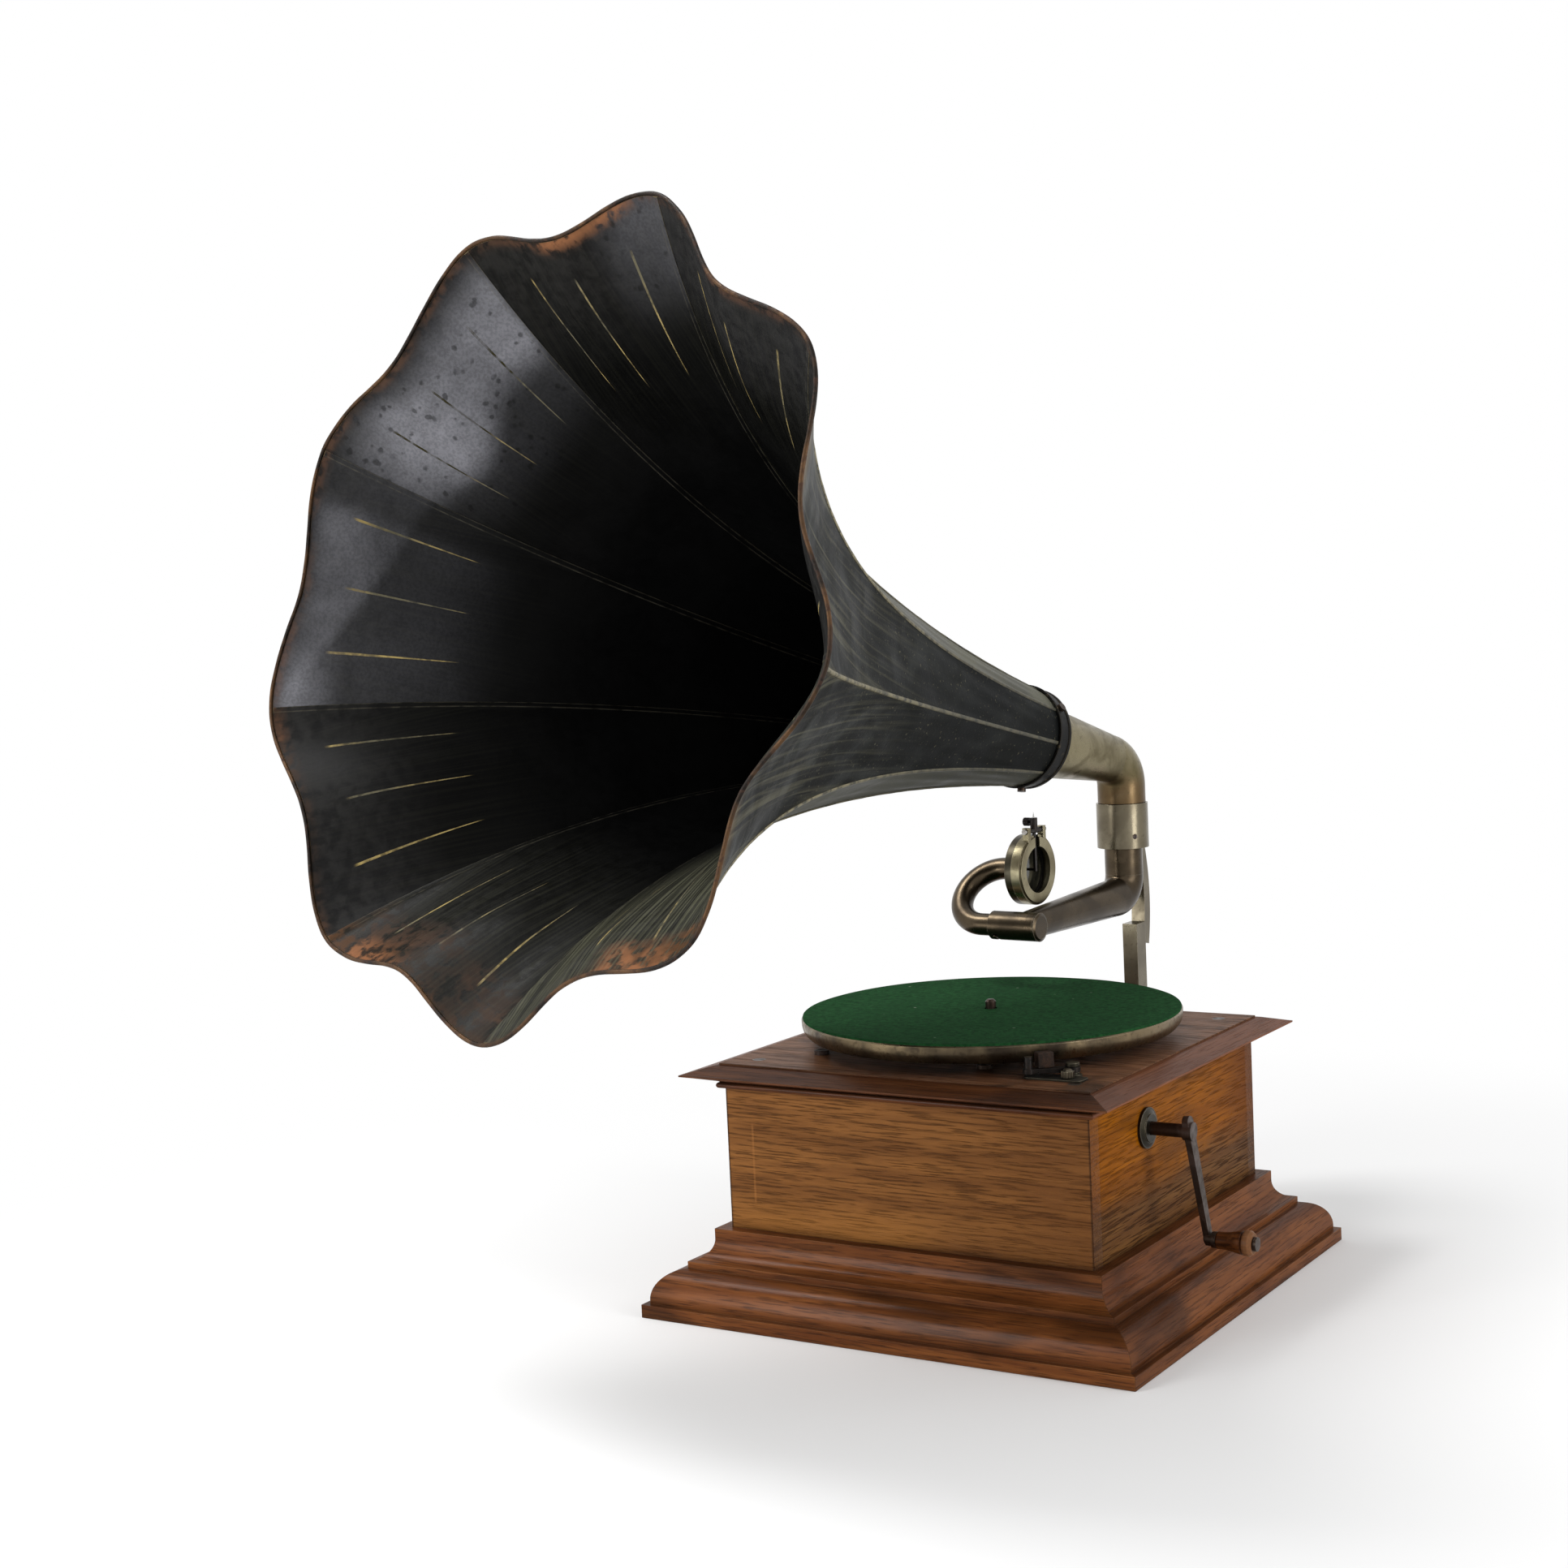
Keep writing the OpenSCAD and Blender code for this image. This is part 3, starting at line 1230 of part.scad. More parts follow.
module crank() {
    color(dark_steel) {
        crank_axis() {
            across(shaft_x1 - socket_l + 0.5, shaft_x1 + 2, socket_r);
            across(shaft_x1 + 1, arm_x + arm_t, crank_rod_r);
            across(arm_x - 1, arm_x + arm_t + 1, crank_rod_r + 1.6);
        }
        crank_turned() {
            translate([arm_x, 0, 0]) rotate([0, -lean_angle, 0]) rotate([90, 0, 90])
                linear_extrude(height = arm_t)
                union() {
                    polygon([[-arm_w / 2 - 1, hub_up], [arm_w / 2 + 1, hub_up], [arm_w / 2 - 0.8, -crank_l],
                             [-arm_w / 2 + 0.8, -crank_l]]);
                    translate([0, hub_up]) circle(r = arm_w / 2 + 1);
                    translate([0, -crank_l]) circle(r = arm_w / 2);
                }
            translate([grip_base, 0, -crank_l]) {
                across(-arm_t, 0.5, 4.2);
                across(0, 3, 5.2);
                across(0, grip_l + 4, pin_r);
                across(grip_l + 3.3, grip_l + 5.3, 4.4);
            }
        }
    }
}

grip_base = arm_x + crank_lean + arm_t + 1;
module crank_grip() {
    l = grip_l - 0.6;
    outline = concat([[pin_r + 0.1, 0], [grip_r - 2.2, 0]],
        [for (i = [0:8]) let (u = i / 8)
            [grip_r - 1.9 + 1.9 * smooth(u) - 0.5 * sin(180 * u), 0.8 + u * (l - 8)]],
        [[grip_r - 0.8, l - 6.4], [grip_r + 0.5, l - 5.4], [grip_r + 0.6, l - 2], [grip_r - 0.8, l],
         [pin_r + 0.1, l]]);
    color(oak_dark) crank_turned() translate([grip_base + 3.3, 0, -crank_l]) rotate([0, 90, 0])
        rotate_extrude() polygon(outline);
}

// Controls on the top board: the brake on its post, and the speed knob on its long rod
control_t = 1.2;
control_l = 40;
control_w = 14;
brake_post_in = 8;
brake_z = top_z + control_t + 2;
lever_t = 3;
pad_t = 9;
pad_z = rim_z - 2;
pad_h = 9.5;
pad_w = 10;
pad_side = -6;
handle_side = -17;
handle_out = 6;

module control_plate() {
    color(old_nickel) difference() {
        union() {
            translate([knob_x - 8, knob_y - 0.5, top_z]) linear_extrude(height = control_t)
                rounded_plate(control_l, control_w, 4);
            translate([brake_place[0], brake_place[1], 0]) {
                translate([0, 0, top_z]) cylinder(r = 6, h = control_t);
                translate([0, 0, top_z - brake_post_in])
                    cylinder(r = post_r, h = brake_post_in + brake_z + lever_t - top_z + 2);
                translate([0, 0, top_z]) cylinder(r = 4.6, h = brake_z - top_z - seat_gap);
                translate([0, 0, brake_z + lever_t + seat_gap]) cylinder(r = 4.4, h = 2.2);
            }
        }
        translate([knob_x, knob_y, top_z - 1]) cylinder(r = rod_r + run_gap, h = 4);
        translate([brake_place[0] - 6, brake_place[1] - 0.5, brake_z + lever_t + 1.6]) cube([12, 1, 3]);
    }
}

// The brake lies by the turntable's rim: in its frame X points away from the spindle, through the
// middle of the controls, and Y to the right
module brake_frame() {
    translate([0, table_y, 0]) rotate([0, 0, -brake_angle]) children();
}

module brake_lever() {
    px = table_r + brake_out;
    handle_x = table_r + handle_out;
    color(dark_steel) brake_frame() difference() {
        union() {
            translate([px, brake_side, brake_z]) cylinder(r = 5, h = lever_t);
            translate([0, 0, brake_z]) linear_extrude(height = lever_t)
                polygon([[px - 4, brake_side], [px + 3.5, brake_side], [handle_x + 2.4, handle_side],
                         [handle_x - 2.4, handle_side]]);
            translate([handle_x, handle_side, brake_z]) cylinder(r = 3.6, h = lever_t);
            translate([handle_x, handle_side, brake_z + lever_t - 0.5]) cylinder(r = 2.6, h = 8);
        }
        translate([px, brake_side, brake_z - 1]) cylinder(r = post_r + run_gap, h = lever_t + 2);
    }
}

module brake_pad() {
    color(leather) brake_frame() difference() {
        translate([table_r - 1, pad_side - pad_w / 2, brake_z + lever_t])
            cube([pad_t, pad_w, pad_z + pad_h - brake_z - lever_t]);
        translate([0, 0, brake_z]) cylinder(r = table_r + seat_gap, h = 3 * pad_h, $fn = 360);
    }
}

cam_r = 4;
cam_off = 1.5;
cam_h = 6;
module speed_knob() {
    knob_low = top_z + control_t + seat_gap;
    color(nickel) translate([knob_x, knob_y, 0]) difference() {
        union() {
            translate([0, 0, wheel_z - cam_h / 2])
                cylinder(r = rod_r, h = knob_low - wheel_z + cam_h / 2 + 1);
            translate([0, -cam_off, wheel_z - cam_h / 2]) cylinder(r = cam_r, h = cam_h);
            translate([0, 0, knob_low]) cylinder(r = knob_r, h = 4);
            translate([0, 0, knob_low + 4 - eps]) cylinder(r1 = knob_r - 0.6, r2 = knob_r - 2, h = 1.2);
        }
        for (a = [30:30:330]) rotate([0, 0, a]) translate([knob_r + 0.5, 0, knob_low - 1])
            cylinder(r = 0.9, h = 8);
    }
}

// Friction lever of the governor: its pad rests by the disc, its tail by the knob's cam
module governor_brake() {
    tail_y = knob_y + cam_r - cam_off + seat_gap;
    pad_x = gov_x + 9;
    pad_y = disc_y - disc_t - seat_gap;
    color(dark_steel) translate([0, 0, wheel_z - cam_h / 2]) difference() {
        linear_extrude(height = cam_h) union() {
            translate([lever_x, lever_y]) circle(r = 6);
            polygon([[lever_x, lever_y - 3], [lever_x, lever_y + 3],
                     [knob_x + 4, tail_y + 4], [knob_x + 4, tail_y]]);
            polygon([[lever_x, lever_y - 3], [lever_x, lever_y + 2.4], [pad_x + 3, pad_y - 0.2],
                     [pad_x + 3, pad_y], [pad_x - 3, pad_y], [pad_x - 3, pad_y - 3.4]]);
        }
        translate([lever_x, lever_y, -1]) cylinder(r = lever_post_r + run_gap, h = cam_h + 2);
    }
}

front_panel();
back_panel();
left_panel();
right_panel();
bottom_board();
corner_blocks();
plinth_mouldings();
top_board();
top_mouldings();
wood_screws();
bracket();
collar_screw();
escutcheon();
control_plate();
motor_top_plate();
motor_bottom_plate();
motor_pillars();
motor_bolts();
elbow();
horn_ferrule();
for (k = [0:petal_n - 1]) horn_petal(k);
horn_rim_wire();
horn_screws();
tone_arm();
arm_end_cap();
gooseneck();
soundbox_shell();
soundbox_ring();
soundbox_gaskets();
diaphragm();
rubber_flange();
pivot_screws();
stylus_bar();
needle();
needle_screw();
turntable_platter();
turntable_felt();
spindle();
spring_barrel();
mainspring();
winding_arbor();
pawl();
intermediate_gear();
governor();
governor_weights();
winding_shaft();
crank();
crank_grip();
brake_lever();
brake_pad();
speed_knob();
governor_brake();
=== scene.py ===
import math

import bmesh
import bpy
import numpy as np
from mathutils import Matrix, Vector


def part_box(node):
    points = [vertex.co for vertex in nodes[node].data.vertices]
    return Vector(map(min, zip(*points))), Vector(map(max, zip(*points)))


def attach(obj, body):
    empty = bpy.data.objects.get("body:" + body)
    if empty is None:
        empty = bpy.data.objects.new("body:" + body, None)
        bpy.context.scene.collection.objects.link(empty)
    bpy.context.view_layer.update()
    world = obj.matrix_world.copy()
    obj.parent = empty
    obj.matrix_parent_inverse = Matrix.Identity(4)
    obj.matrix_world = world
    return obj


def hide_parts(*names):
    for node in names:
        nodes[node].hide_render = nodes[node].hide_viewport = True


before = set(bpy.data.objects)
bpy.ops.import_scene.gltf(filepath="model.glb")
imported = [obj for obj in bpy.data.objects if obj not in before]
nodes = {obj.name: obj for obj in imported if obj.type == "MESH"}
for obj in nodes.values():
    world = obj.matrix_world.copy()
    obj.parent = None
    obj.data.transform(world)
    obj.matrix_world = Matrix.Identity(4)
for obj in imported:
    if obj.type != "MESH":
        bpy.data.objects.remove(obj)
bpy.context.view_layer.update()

# Oak panels: four solid oak boards, 12 mm thick, glued round corner blocks. They are stained and
# French polished: the front has gone a dull mid brown, the sides are honey coloured above and
# dark with handling below.
MM = 0.001
case_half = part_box("front_panel")[1].x


def shade(red, green, blue):
    """A colour as the eye reads it, from 0 to 255, turned into the linear colour that a shader takes."""
    def linear(level):
        return level / 12.92 if level <= 0.04045 else ((level + 0.055) / 1.055) ** 2.4
    return (linear(red / 255), linear(green / 255), linear(blue / 255), 1.0)


class Finish:
    """A finish as it is built up: its material, its shader, and one call for each step laid on it."""

    def __init__(self, name, **levels):
        self.material = bpy.data.materials.new(name)
        self.material.use_nodes = True
        self.tree = self.material.node_tree
        self.shader = self.tree.nodes["Principled BSDF"]
        for socket, level in levels.items():
            label = socket.replace("_", " ").title().replace("Ior", "IOR")
            self.shader.inputs[label].default_value = level
        self.place = self.step("TexCoord").outputs["Object"]

    def feed(self, socket, value):
        """Links a value to a socket where it comes from another step, and sets it where it is plain."""
        if isinstance(value, bpy.types.NodeSocket):
            self.tree.links.new(value, socket)
        elif value is not None:
            socket.default_value = value

    def step(self, kind, *values, **settings):
        """Adds a shader node of a kind with its settings, and feeds its sockets in their order."""
        made = self.tree.nodes.new("ShaderNode" + kind)
        for key, value in settings.items():
            setattr(made, key, value)
        for socket, value in zip(made.inputs, values):
            self.feed(socket, value)
        return made

    def stretch(self, across, back, up, place=None):
        """The place on the object, drawn out by a number of repeats a metre each way."""
        made = self.step("Mapping", place or self.place)
        made.inputs["Scale"].default_value = (across, back, up)
        return made.outputs[0]

    def mottle(self, place, scale, detail=4, distortion=0.0):
        """Uneven patches from 0 to 1, by their number a metre, their detail and how wavy they are."""
        made = self.step("TexNoise")
        self.feed(made.inputs["Vector"], place)
        made.inputs["Scale"].default_value = scale
        made.inputs["Detail"].default_value = detail
        made.inputs["Roughness"].default_value = 0.55
        made.inputs["Distortion"].default_value = distortion
        return made.outputs[0]

    def ease(self, value, low, high, first=0.0, last=1.0):
        """Goes smoothly from first to last as the value goes from low to high."""
        made = self.step("MapRange", value, low, high, first, last, interpolation_type="SMOOTHSTEP")
        return made.outputs[0]

    def reckon(self, operation, first, second=0.0):
        """One step of arithmetic on two values."""
        return self.step("Math", first, second, operation=operation).outputs[0]

    def plus(self, first, second):
        return self.reckon("ADD", first, second)

    def minus(self, first, second):
        return self.reckon("SUBTRACT", first, second)

    def times(self, first, second):
        return self.reckon("MULTIPLY", first, second)

    def unsigned(self, value):
        return self.reckon("ABSOLUTE", value)

    def larger(self, first, second):
        return self.reckon("MAXIMUM", first, second)

    def smaller(self, first, second):
        return self.reckon("MINIMUM", first, second)

    def above(self, value, limit):
        """1 where the value is above the limit, 0 elsewhere."""
        return self.reckon("GREATER_THAN", value, limit)

    def below(self, value, limit):
        """1 where the value is below the limit, 0 elsewhere."""
        return self.reckon("LESS_THAN", value, limit)

    def lay(self, amount, under, over):
        """Lays one colour over another, by an amount from 0 to 1."""
        made = self.step("Mix", data_type="RGBA", blend_type="MIX")
        self.feed(made.inputs[0], amount)
        self.feed(made.inputs[6], under)
        self.feed(made.inputs[7], over)
        return made.outputs[2]

    def axes(self):
        """The place as three distances: across, back and up."""
        return self.step("SeparateXYZ", self.place).outputs

    def corners(self, reach):
        """1 in the bottom of a groove or corner, 0 in the open: where the finishes paint shade."""
        made = self.step("AmbientOcclusion", samples=6)
        made.inputs["Distance"].default_value = reach
        return self.ease(made.outputs["AO"], 0.75, 0.25)

    def edges(self, radius):
        """1 on an outside or inside edge, 0 on a flat."""
        soft = self.step("Bevel", radius, samples=4).outputs[0]
        true = self.step("NewGeometry").outputs["Normal"]
        dot = self.step("VectorMath", soft, true, operation="DOT_PRODUCT").outputs["Value"]
        return self.ease(dot, 0.985, 0.88)

    def relief(self, level, depth, soft_edge=0.0):
        """Raises or sinks the surface by the level, from 0 to 1, times a depth in metres."""
        made = self.step("Bump")
        made.inputs["Distance"].default_value = depth
        self.feed(made.inputs["Height"], level)
        if soft_edge:
            self.feed(made.inputs["Normal"], self.step("Bevel", soft_edge, samples=4).outputs[0])
        self.feed(self.shader.inputs["Normal"], made.outputs[0])

    def colour(self, value):
        self.feed(self.shader.inputs["Base Color"], value)

    def roughness(self, value):
        self.feed(self.shader.inputs["Roughness"], value)

    def metal(self, value):
        self.feed(self.shader.inputs["Metallic"], value)


def dress(finish, *names):
    """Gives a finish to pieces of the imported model."""
    for name in names:
        for slot in nodes[name].material_slots:
            slot.material = finish.material


def oak_colour(wood, place, dark, middle, light, wear=0.52):
    """The figure, dashes and pores of oak whose grain runs along the first axis of a place."""
    figure = wood.mottle(wood.stretch(6, 90, 90, place), 1, 4, 0.7)
    dashes = wood.mottle(wood.stretch(34, 760, 760, place), 1, 2, 0.1)
    pores = wood.mottle(wood.stretch(90, 1500, 1500, place), 1, 2)
    open_grain = wood.ease(dashes, 0.48, 0.62)
    sunk = wood.times(wood.ease(pores, 0.52, 0.62), wood.ease(open_grain, 0, 1, 0.2, 1.0))
    base = wood.lay(wood.ease(figure, 0.34, 0.66), light, middle)
    base = wood.lay(wood.times(open_grain, wear), base, dark)
    base = wood.lay(wood.times(sunk, 0.4), base, dark)
    return base, wood.plus(sunk, open_grain)


def finish_oak(wood, colour, sunk, reach, shade_strength, low, high, depth, soft):
    """Painted shade in the corners, then the roughness and the relief of the polished grain."""
    painted_shade = wood.times(wood.corners(reach), shade_strength)
    wood.colour(wood.lay(painted_shade, colour, corner_shade_colour))
    wood.roughness(wood.ease(sunk, 0.2, 1.4, low, high))
    wood.relief(wood.times(sunk, -1.0), depth, soft)


def side_colouring(wood):
    """The colour of the case's sides: honey above, dark in the lower part and at the rear end."""
    dark_from, dark_full = 99 * MM, 78 * MM
    rear_from, rear_full = 50 * MM, 118 * MM
    across, back, up = wood.axes()
    place = wood.step("CombineXYZ", back, across, up).outputs[0]
    base, sunk = oak_colour(wood, place, shade(74, 40, 8), shade(118, 65, 5), shade(142, 82, 5), 0.5)
    cloud = wood.mottle(wood.stretch(9, 9, 26), 1, 4, 0.6)
    base = wood.lay(wood.ease(cloud, 0.46, 0.66, 0, 0.7), base, shade(86, 51, 18))
    base = wood.lay(wood.ease(back, rear_from, rear_full, 0, 0.6), base, shade(84, 42, 4))
    # The dark lower part ends nearly level, with a wavy edge
    edge = wood.plus(up, wood.times(back, 0.015))
    edge = wood.plus(edge, wood.ease(cloud, 0.3, 0.7, -8 * MM, 8 * MM))
    dark, _ = oak_colour(wood, place, shade(50, 31, 17), shade(82, 53, 28), shade(100, 69, 38), 0.85)
    base = wood.lay(wood.ease(edge, dark_from, dark_full, 0, 0.92), base, dark)
    at_end = wood.ease(wood.unsigned(back), case_half - 18.5 * MM, case_half - 0.5 * MM)
    base = wood.lay(wood.times(at_end, 0.4), base, shade(70, 40, 22))
    return base, sunk


# The colour of the painted shade in corners and grooves
corner_shade_colour = shade(24, 15, 10)
front_oak = Finish("front_oak", specular_ior_level=0.06, coat_weight=0.04, coat_roughness=0.3)
across, _, up = front_oak.axes()
front_colour, front_sunk = oak_colour(front_oak, None, shade(62, 37, 18), shade(118, 74, 34),
                                      shade(144, 94, 46))
patch = front_oak.mottle(front_oak.stretch(5, 5, 9), 1, 2)
front_colour = front_oak.lay(front_oak.ease(patch, 0.42, 0.66, 0, 0.45), front_colour, shade(98, 60, 30))
right_end = front_oak.ease(across, 20 * MM, case_half - 0.5 * MM, 0, 0.35)
front_colour = front_oak.lay(right_end, front_colour, shade(92, 54, 24))
# Painted highlight: golden light painted in patches along the front's lower edge
painted_low_highlight = front_oak.times(front_oak.ease(up, 85 * MM, 55 * MM), front_oak.ease(patch, 0.66, 0.4))
front_colour = front_oak.lay(front_oak.times(painted_low_highlight, 0.5), front_colour, shade(158, 104, 46))
at_corner = front_oak.ease(front_oak.unsigned(across), case_half - 1.7 * MM, case_half - 0.5 * MM, 0, 0.75)
front_colour = front_oak.lay(at_corner, front_colour, shade(44, 26, 14))
# A faint pale line is left on the polish near the front's left end
line_x = -111 * MM
line_low, line_high = 70 * MM, 126 * MM
line_off = front_oak.unsigned(front_oak.minus(across, line_x))
line = front_oak.times(front_oak.ease(line_off, 1.1 * MM, 0.4 * MM),
                       front_oak.ease(up, line_low, line_low + 4 * MM))
line = front_oak.times(line, front_oak.ease(up, line_high, line_high - 5 * MM))
front_colour = front_oak.lay(front_oak.times(line, 0.35), front_colour, shade(170, 112, 58))
# The ends of the front and back boards show on the case's sides, and are coloured as they are
end_colour, _ = side_colouring(front_oak)
facing = front_oak.step("SeparateXYZ", front_oak.step("NewGeometry").outputs["Normal"]).outputs[0]
on_end = front_oak.above(front_oak.unsigned(facing), 0.7)
front_colour = front_oak.lay(on_end, front_colour, end_colour)
finish_oak(front_oak, front_colour, front_sunk, 9 * MM, 0.85, 0.42, 0.62, 0.16 * MM, 0.7 * MM)
dress(front_oak, "front_panel", "back_panel")

side_oak = Finish("side_oak", specular_ior_level=0.02, coat_weight=0.02, coat_roughness=0.3)
side_colour, side_sunk = side_colouring(side_oak)
finish_oak(side_oak, side_colour, side_sunk, 9 * MM, 0.85, 0.42, 0.62, 0.16 * MM, 0.7 * MM)
dress(side_oak, "left_panel", "right_panel")

# Plinth and top mouldings: lengths of oak moulding, mitred at the corners and glued and pinned to
# the case. Their polish is redder and glossier than the panels' and rubbed pale on the edges. Painted
# shade darkens the hollows, the upward faces and the plinth's sides, and painted light the lid's sides.


def moulding_oak(name, dark, middle, light, worn, side_shade_and_light, side_shade_and_light_share):
    """Moulding oak, with its grain along each of the four lengths, and its sides painted a given tone that
    stands in for light.
    """
    wood = Finish(name, specular_ior_level=0.02, coat_weight=0.14, coat_roughness=0.22)
    across, back, up = wood.axes()
    on_side = wood.above(wood.unsigned(across), wood.unsigned(back))
    run = wood.step("Mix", data_type="FLOAT")
    cross = wood.step("Mix", data_type="FLOAT")
    for made, first, second in ((run, across, back), (cross, back, across)):
        wood.feed(made.inputs[0], on_side)
        wood.feed(made.inputs[2], first)
        wood.feed(made.inputs[3], second)
    place = wood.step("CombineXYZ", run.outputs[0], cross.outputs[0], up).outputs[0]
    base, sunk = oak_colour(wood, place, dark, middle, light, 0.42)
    cloud = wood.mottle(wood.stretch(7, 16, 16, place), 1, 3, 0.5)
    base = wood.lay(wood.ease(cloud, 0.5, 0.68, 0, 0.72), base, dark)
    rubbed = wood.times(wood.edges(1.2 * MM), wood.ease(cloud, 0.62, 0.4, 0.2, 0.8))
    base = wood.lay(wood.times(rubbed, 0.5), base, worn)
    # The sides are painted to stand in for light: painted shade on the plinth, painted light on the lid
    base = wood.lay(wood.times(on_side, side_shade_and_light_share), base, side_shade_and_light)
    # Faces turned up are painted darker: painted shade
    facing_up = wood.step("SeparateXYZ", wood.step("TexCoord").outputs["Normal"]).outputs[2]
    base = wood.lay(wood.ease(facing_up, 0.8, 0.95, 0, 0.3), base, dark)
    finish_oak(wood, base, sunk, 7 * MM, 0.72, 0.36, 0.5, 0.1 * MM, 0.8 * MM)
    return wood


# The plinth's sides are painted darker: painted shade
plinth_oak = moulding_oak("plinth_oak", shade(46, 25, 12), shade(96, 53, 25), shade(126, 75, 37),
                          shade(160, 112, 74), shade(64, 30, 6), 0.22)
dress(plinth_oak, "plinth_mouldings")
# The lid's sides are painted lighter and redder: painted light
lid_oak = moulding_oak("lid_oak", shade(38, 21, 12), shade(80, 45, 26), shade(110, 66, 38),
                       shade(156, 106, 74), shade(142, 80, 46), 0.34)
dress(lid_oak, "top_mouldings")

# Top board: a flat oak board screwed down on the corner blocks, 1 mm proud of the moulding round
# it. Its polish is grey-brown and worn, and darker where the turntable keeps it in the shade.
board_oak = Finish("board_oak", specular_ior_level=0.04, coat_weight=0.03, coat_roughness=0.3)
board_colour, board_sunk = oak_colour(board_oak, None, shade(50, 32, 21), shade(100, 66, 44),
                                      shade(130, 90, 63), 0.6)
wear = board_oak.mottle(board_oak.stretch(22, 22, 22), 1, 5, 0.4)
board_colour = board_oak.lay(board_oak.ease(wear, 0.53, 0.7, 0, 0.4), board_colour, shade(134, 98, 74))
board_colour = board_oak.lay(board_oak.ease(wear, 0.46, 0.3, 0, 0.7), board_colour, shade(40, 27, 18))
finish_oak(board_oak, board_colour, board_sunk, 14 * MM, 0.95, 0.4, 0.58, 0.12 * MM, 0.6 * MM)
dress(board_oak, "top_board")

# Bottom board and corner blocks: plain unpolished deal. The board closes the case from below, and
# the blocks are glued into the four corners of the case.
deal = Finish("deal", specular_ior_level=0.2)
deal_colour, deal_sunk = oak_colour(deal, None, shade(120, 84, 48), shade(166, 128, 82),
                                    shade(186, 150, 102), 0.35)
finish_oak(deal, deal_colour, deal_sunk, 8 * MM, 0.7, 0.7, 0.8, 0.12 * MM, 0.4 * MM)
dress(deal, "bottom_board", "corner_blocks")

# Motor: a spring barrel, wheels and a governor between two cast iron plates, bolted under the top
# board. The shafts and pillars are turned steel, the spindle, spring and bolts have browned, and
# the barrel, the wheel and the governor's balls are brass.


def iron(name, clean, rusty, rust_from, metal, rough, grain=300):
    """Iron or steel with rust coming through where the mottle is above rust_from."""
    made = Finish(name)
    fine = made.mottle(made.place, grain, 5)
    broad = made.mottle(made.place, grain / 5, 4, 0.5)
    rust = made.ease(broad, rust_from, rust_from + 0.14)
    made.colour(made.lay(rust, made.lay(made.ease(fine, 0.35, 0.7, 0, 0.5), clean, rusty), rusty))
    made.metal(made.ease(rust, 0, 1, metal, 0.2 * metal))
    made.roughness(made.ease(fine, 0.3, 0.7, rough, rough + 0.2))
    made.relief(fine, 0.12 * MM, 0.25 * MM)
    return made


cast_iron = iron("cast_iron", shade(70, 72, 74), shade(58, 50, 44), 0.6, 0.6, 0.5, 500)
dress(cast_iron, "motor_top_plate", "motor_bottom_plate")
turned_steel = iron("turned_steel", shade(166, 166, 164), shade(110, 92, 74), 0.62, 1.0, 0.22)
dress(turned_steel, "motor_pillars", "winding_arbor", "winding_shaft", "governor")
browned_steel = iron("browned_steel", shade(58, 48, 41), shade(50, 32, 22), 0.5, 0.85, 0.28)
dress(browned_steel, "motor_bolts", "spindle", "pawl", "mainspring", "governor_brake")
motor_brass = iron("motor_brass", shade(186, 150, 82), shade(122, 92, 48), 0.62, 1.0, 0.25, 220)
dress(motor_brass, "spring_barrel", "intermediate_gear", "governor_weights")

# Screws: slotted wood screws in the top board and the bracket's foot, a set screw in the collar and
# three round headed screws in the ferrule. Their blued steel has browned, as the motor's bolts have.
dress(browned_steel, "wood_screws", "collar_screw", "horn_screws")

# Bracket and collar: a cast bracket screwed to the back of the case, with the collar that holds
# the elbow. It is plated with nickel, now dull, with the brown of the metal showing through.


def old_plating(name, plate, brown, dark, brown_from, rough):
    """Nickel plating worn to brown and spotted with tarnish, with painted shade on the side away from the
    lamps and in corners.
    """
    made = Finish(name)
    fine = made.mottle(made.place, 420, 5)
    broad = made.mottle(made.place, 38, 4, 0.4)
    worn = made.ease(broad, brown_from - 0.14, brown_from + 0.14, 0, 0.75)
    spots = made.ease(fine, 0.6, 0.7)
    # The side turned from the lamps, to the left front and above, is painted browner: painted shade
    normal = made.step("TexCoord").outputs["Normal"]
    facing_lamps = made.step("VectorMath", normal, (-0.55, -0.7, 0.45), operation="DOT_PRODUCT").outputs["Value"]
    painted_side_shade = made.ease(facing_lamps, 0.5, -0.6, 0, 0.45)
    base = made.lay(worn, plate, brown)
    base = made.lay(painted_side_shade, base, brown)
    base = made.lay(made.times(spots, 0.35), base, dark)
    # Painted shade in the corners
    base = made.lay(made.times(made.corners(5 * MM), 0.9), base, dark)
    base = made.lay(made.times(made.edges(0.7 * MM), 0.3), base, shade(178, 168, 146))
    made.colour(base)
    made.metal(made.ease(worn, 0, 1, 1.0, 0.92))
    made.roughness(made.ease(broad, 0.3, 0.7, rough, rough + 0.1))
    made.relief(fine, 0.015 * MM, 0.5 * MM)
    return made


bracket_plating = old_plating("bracket_plating", shade(124, 116, 98), shade(90, 82, 67),
                              shade(26, 22, 17), 0.5, 0.24)
dress(bracket_plating, "bracket")

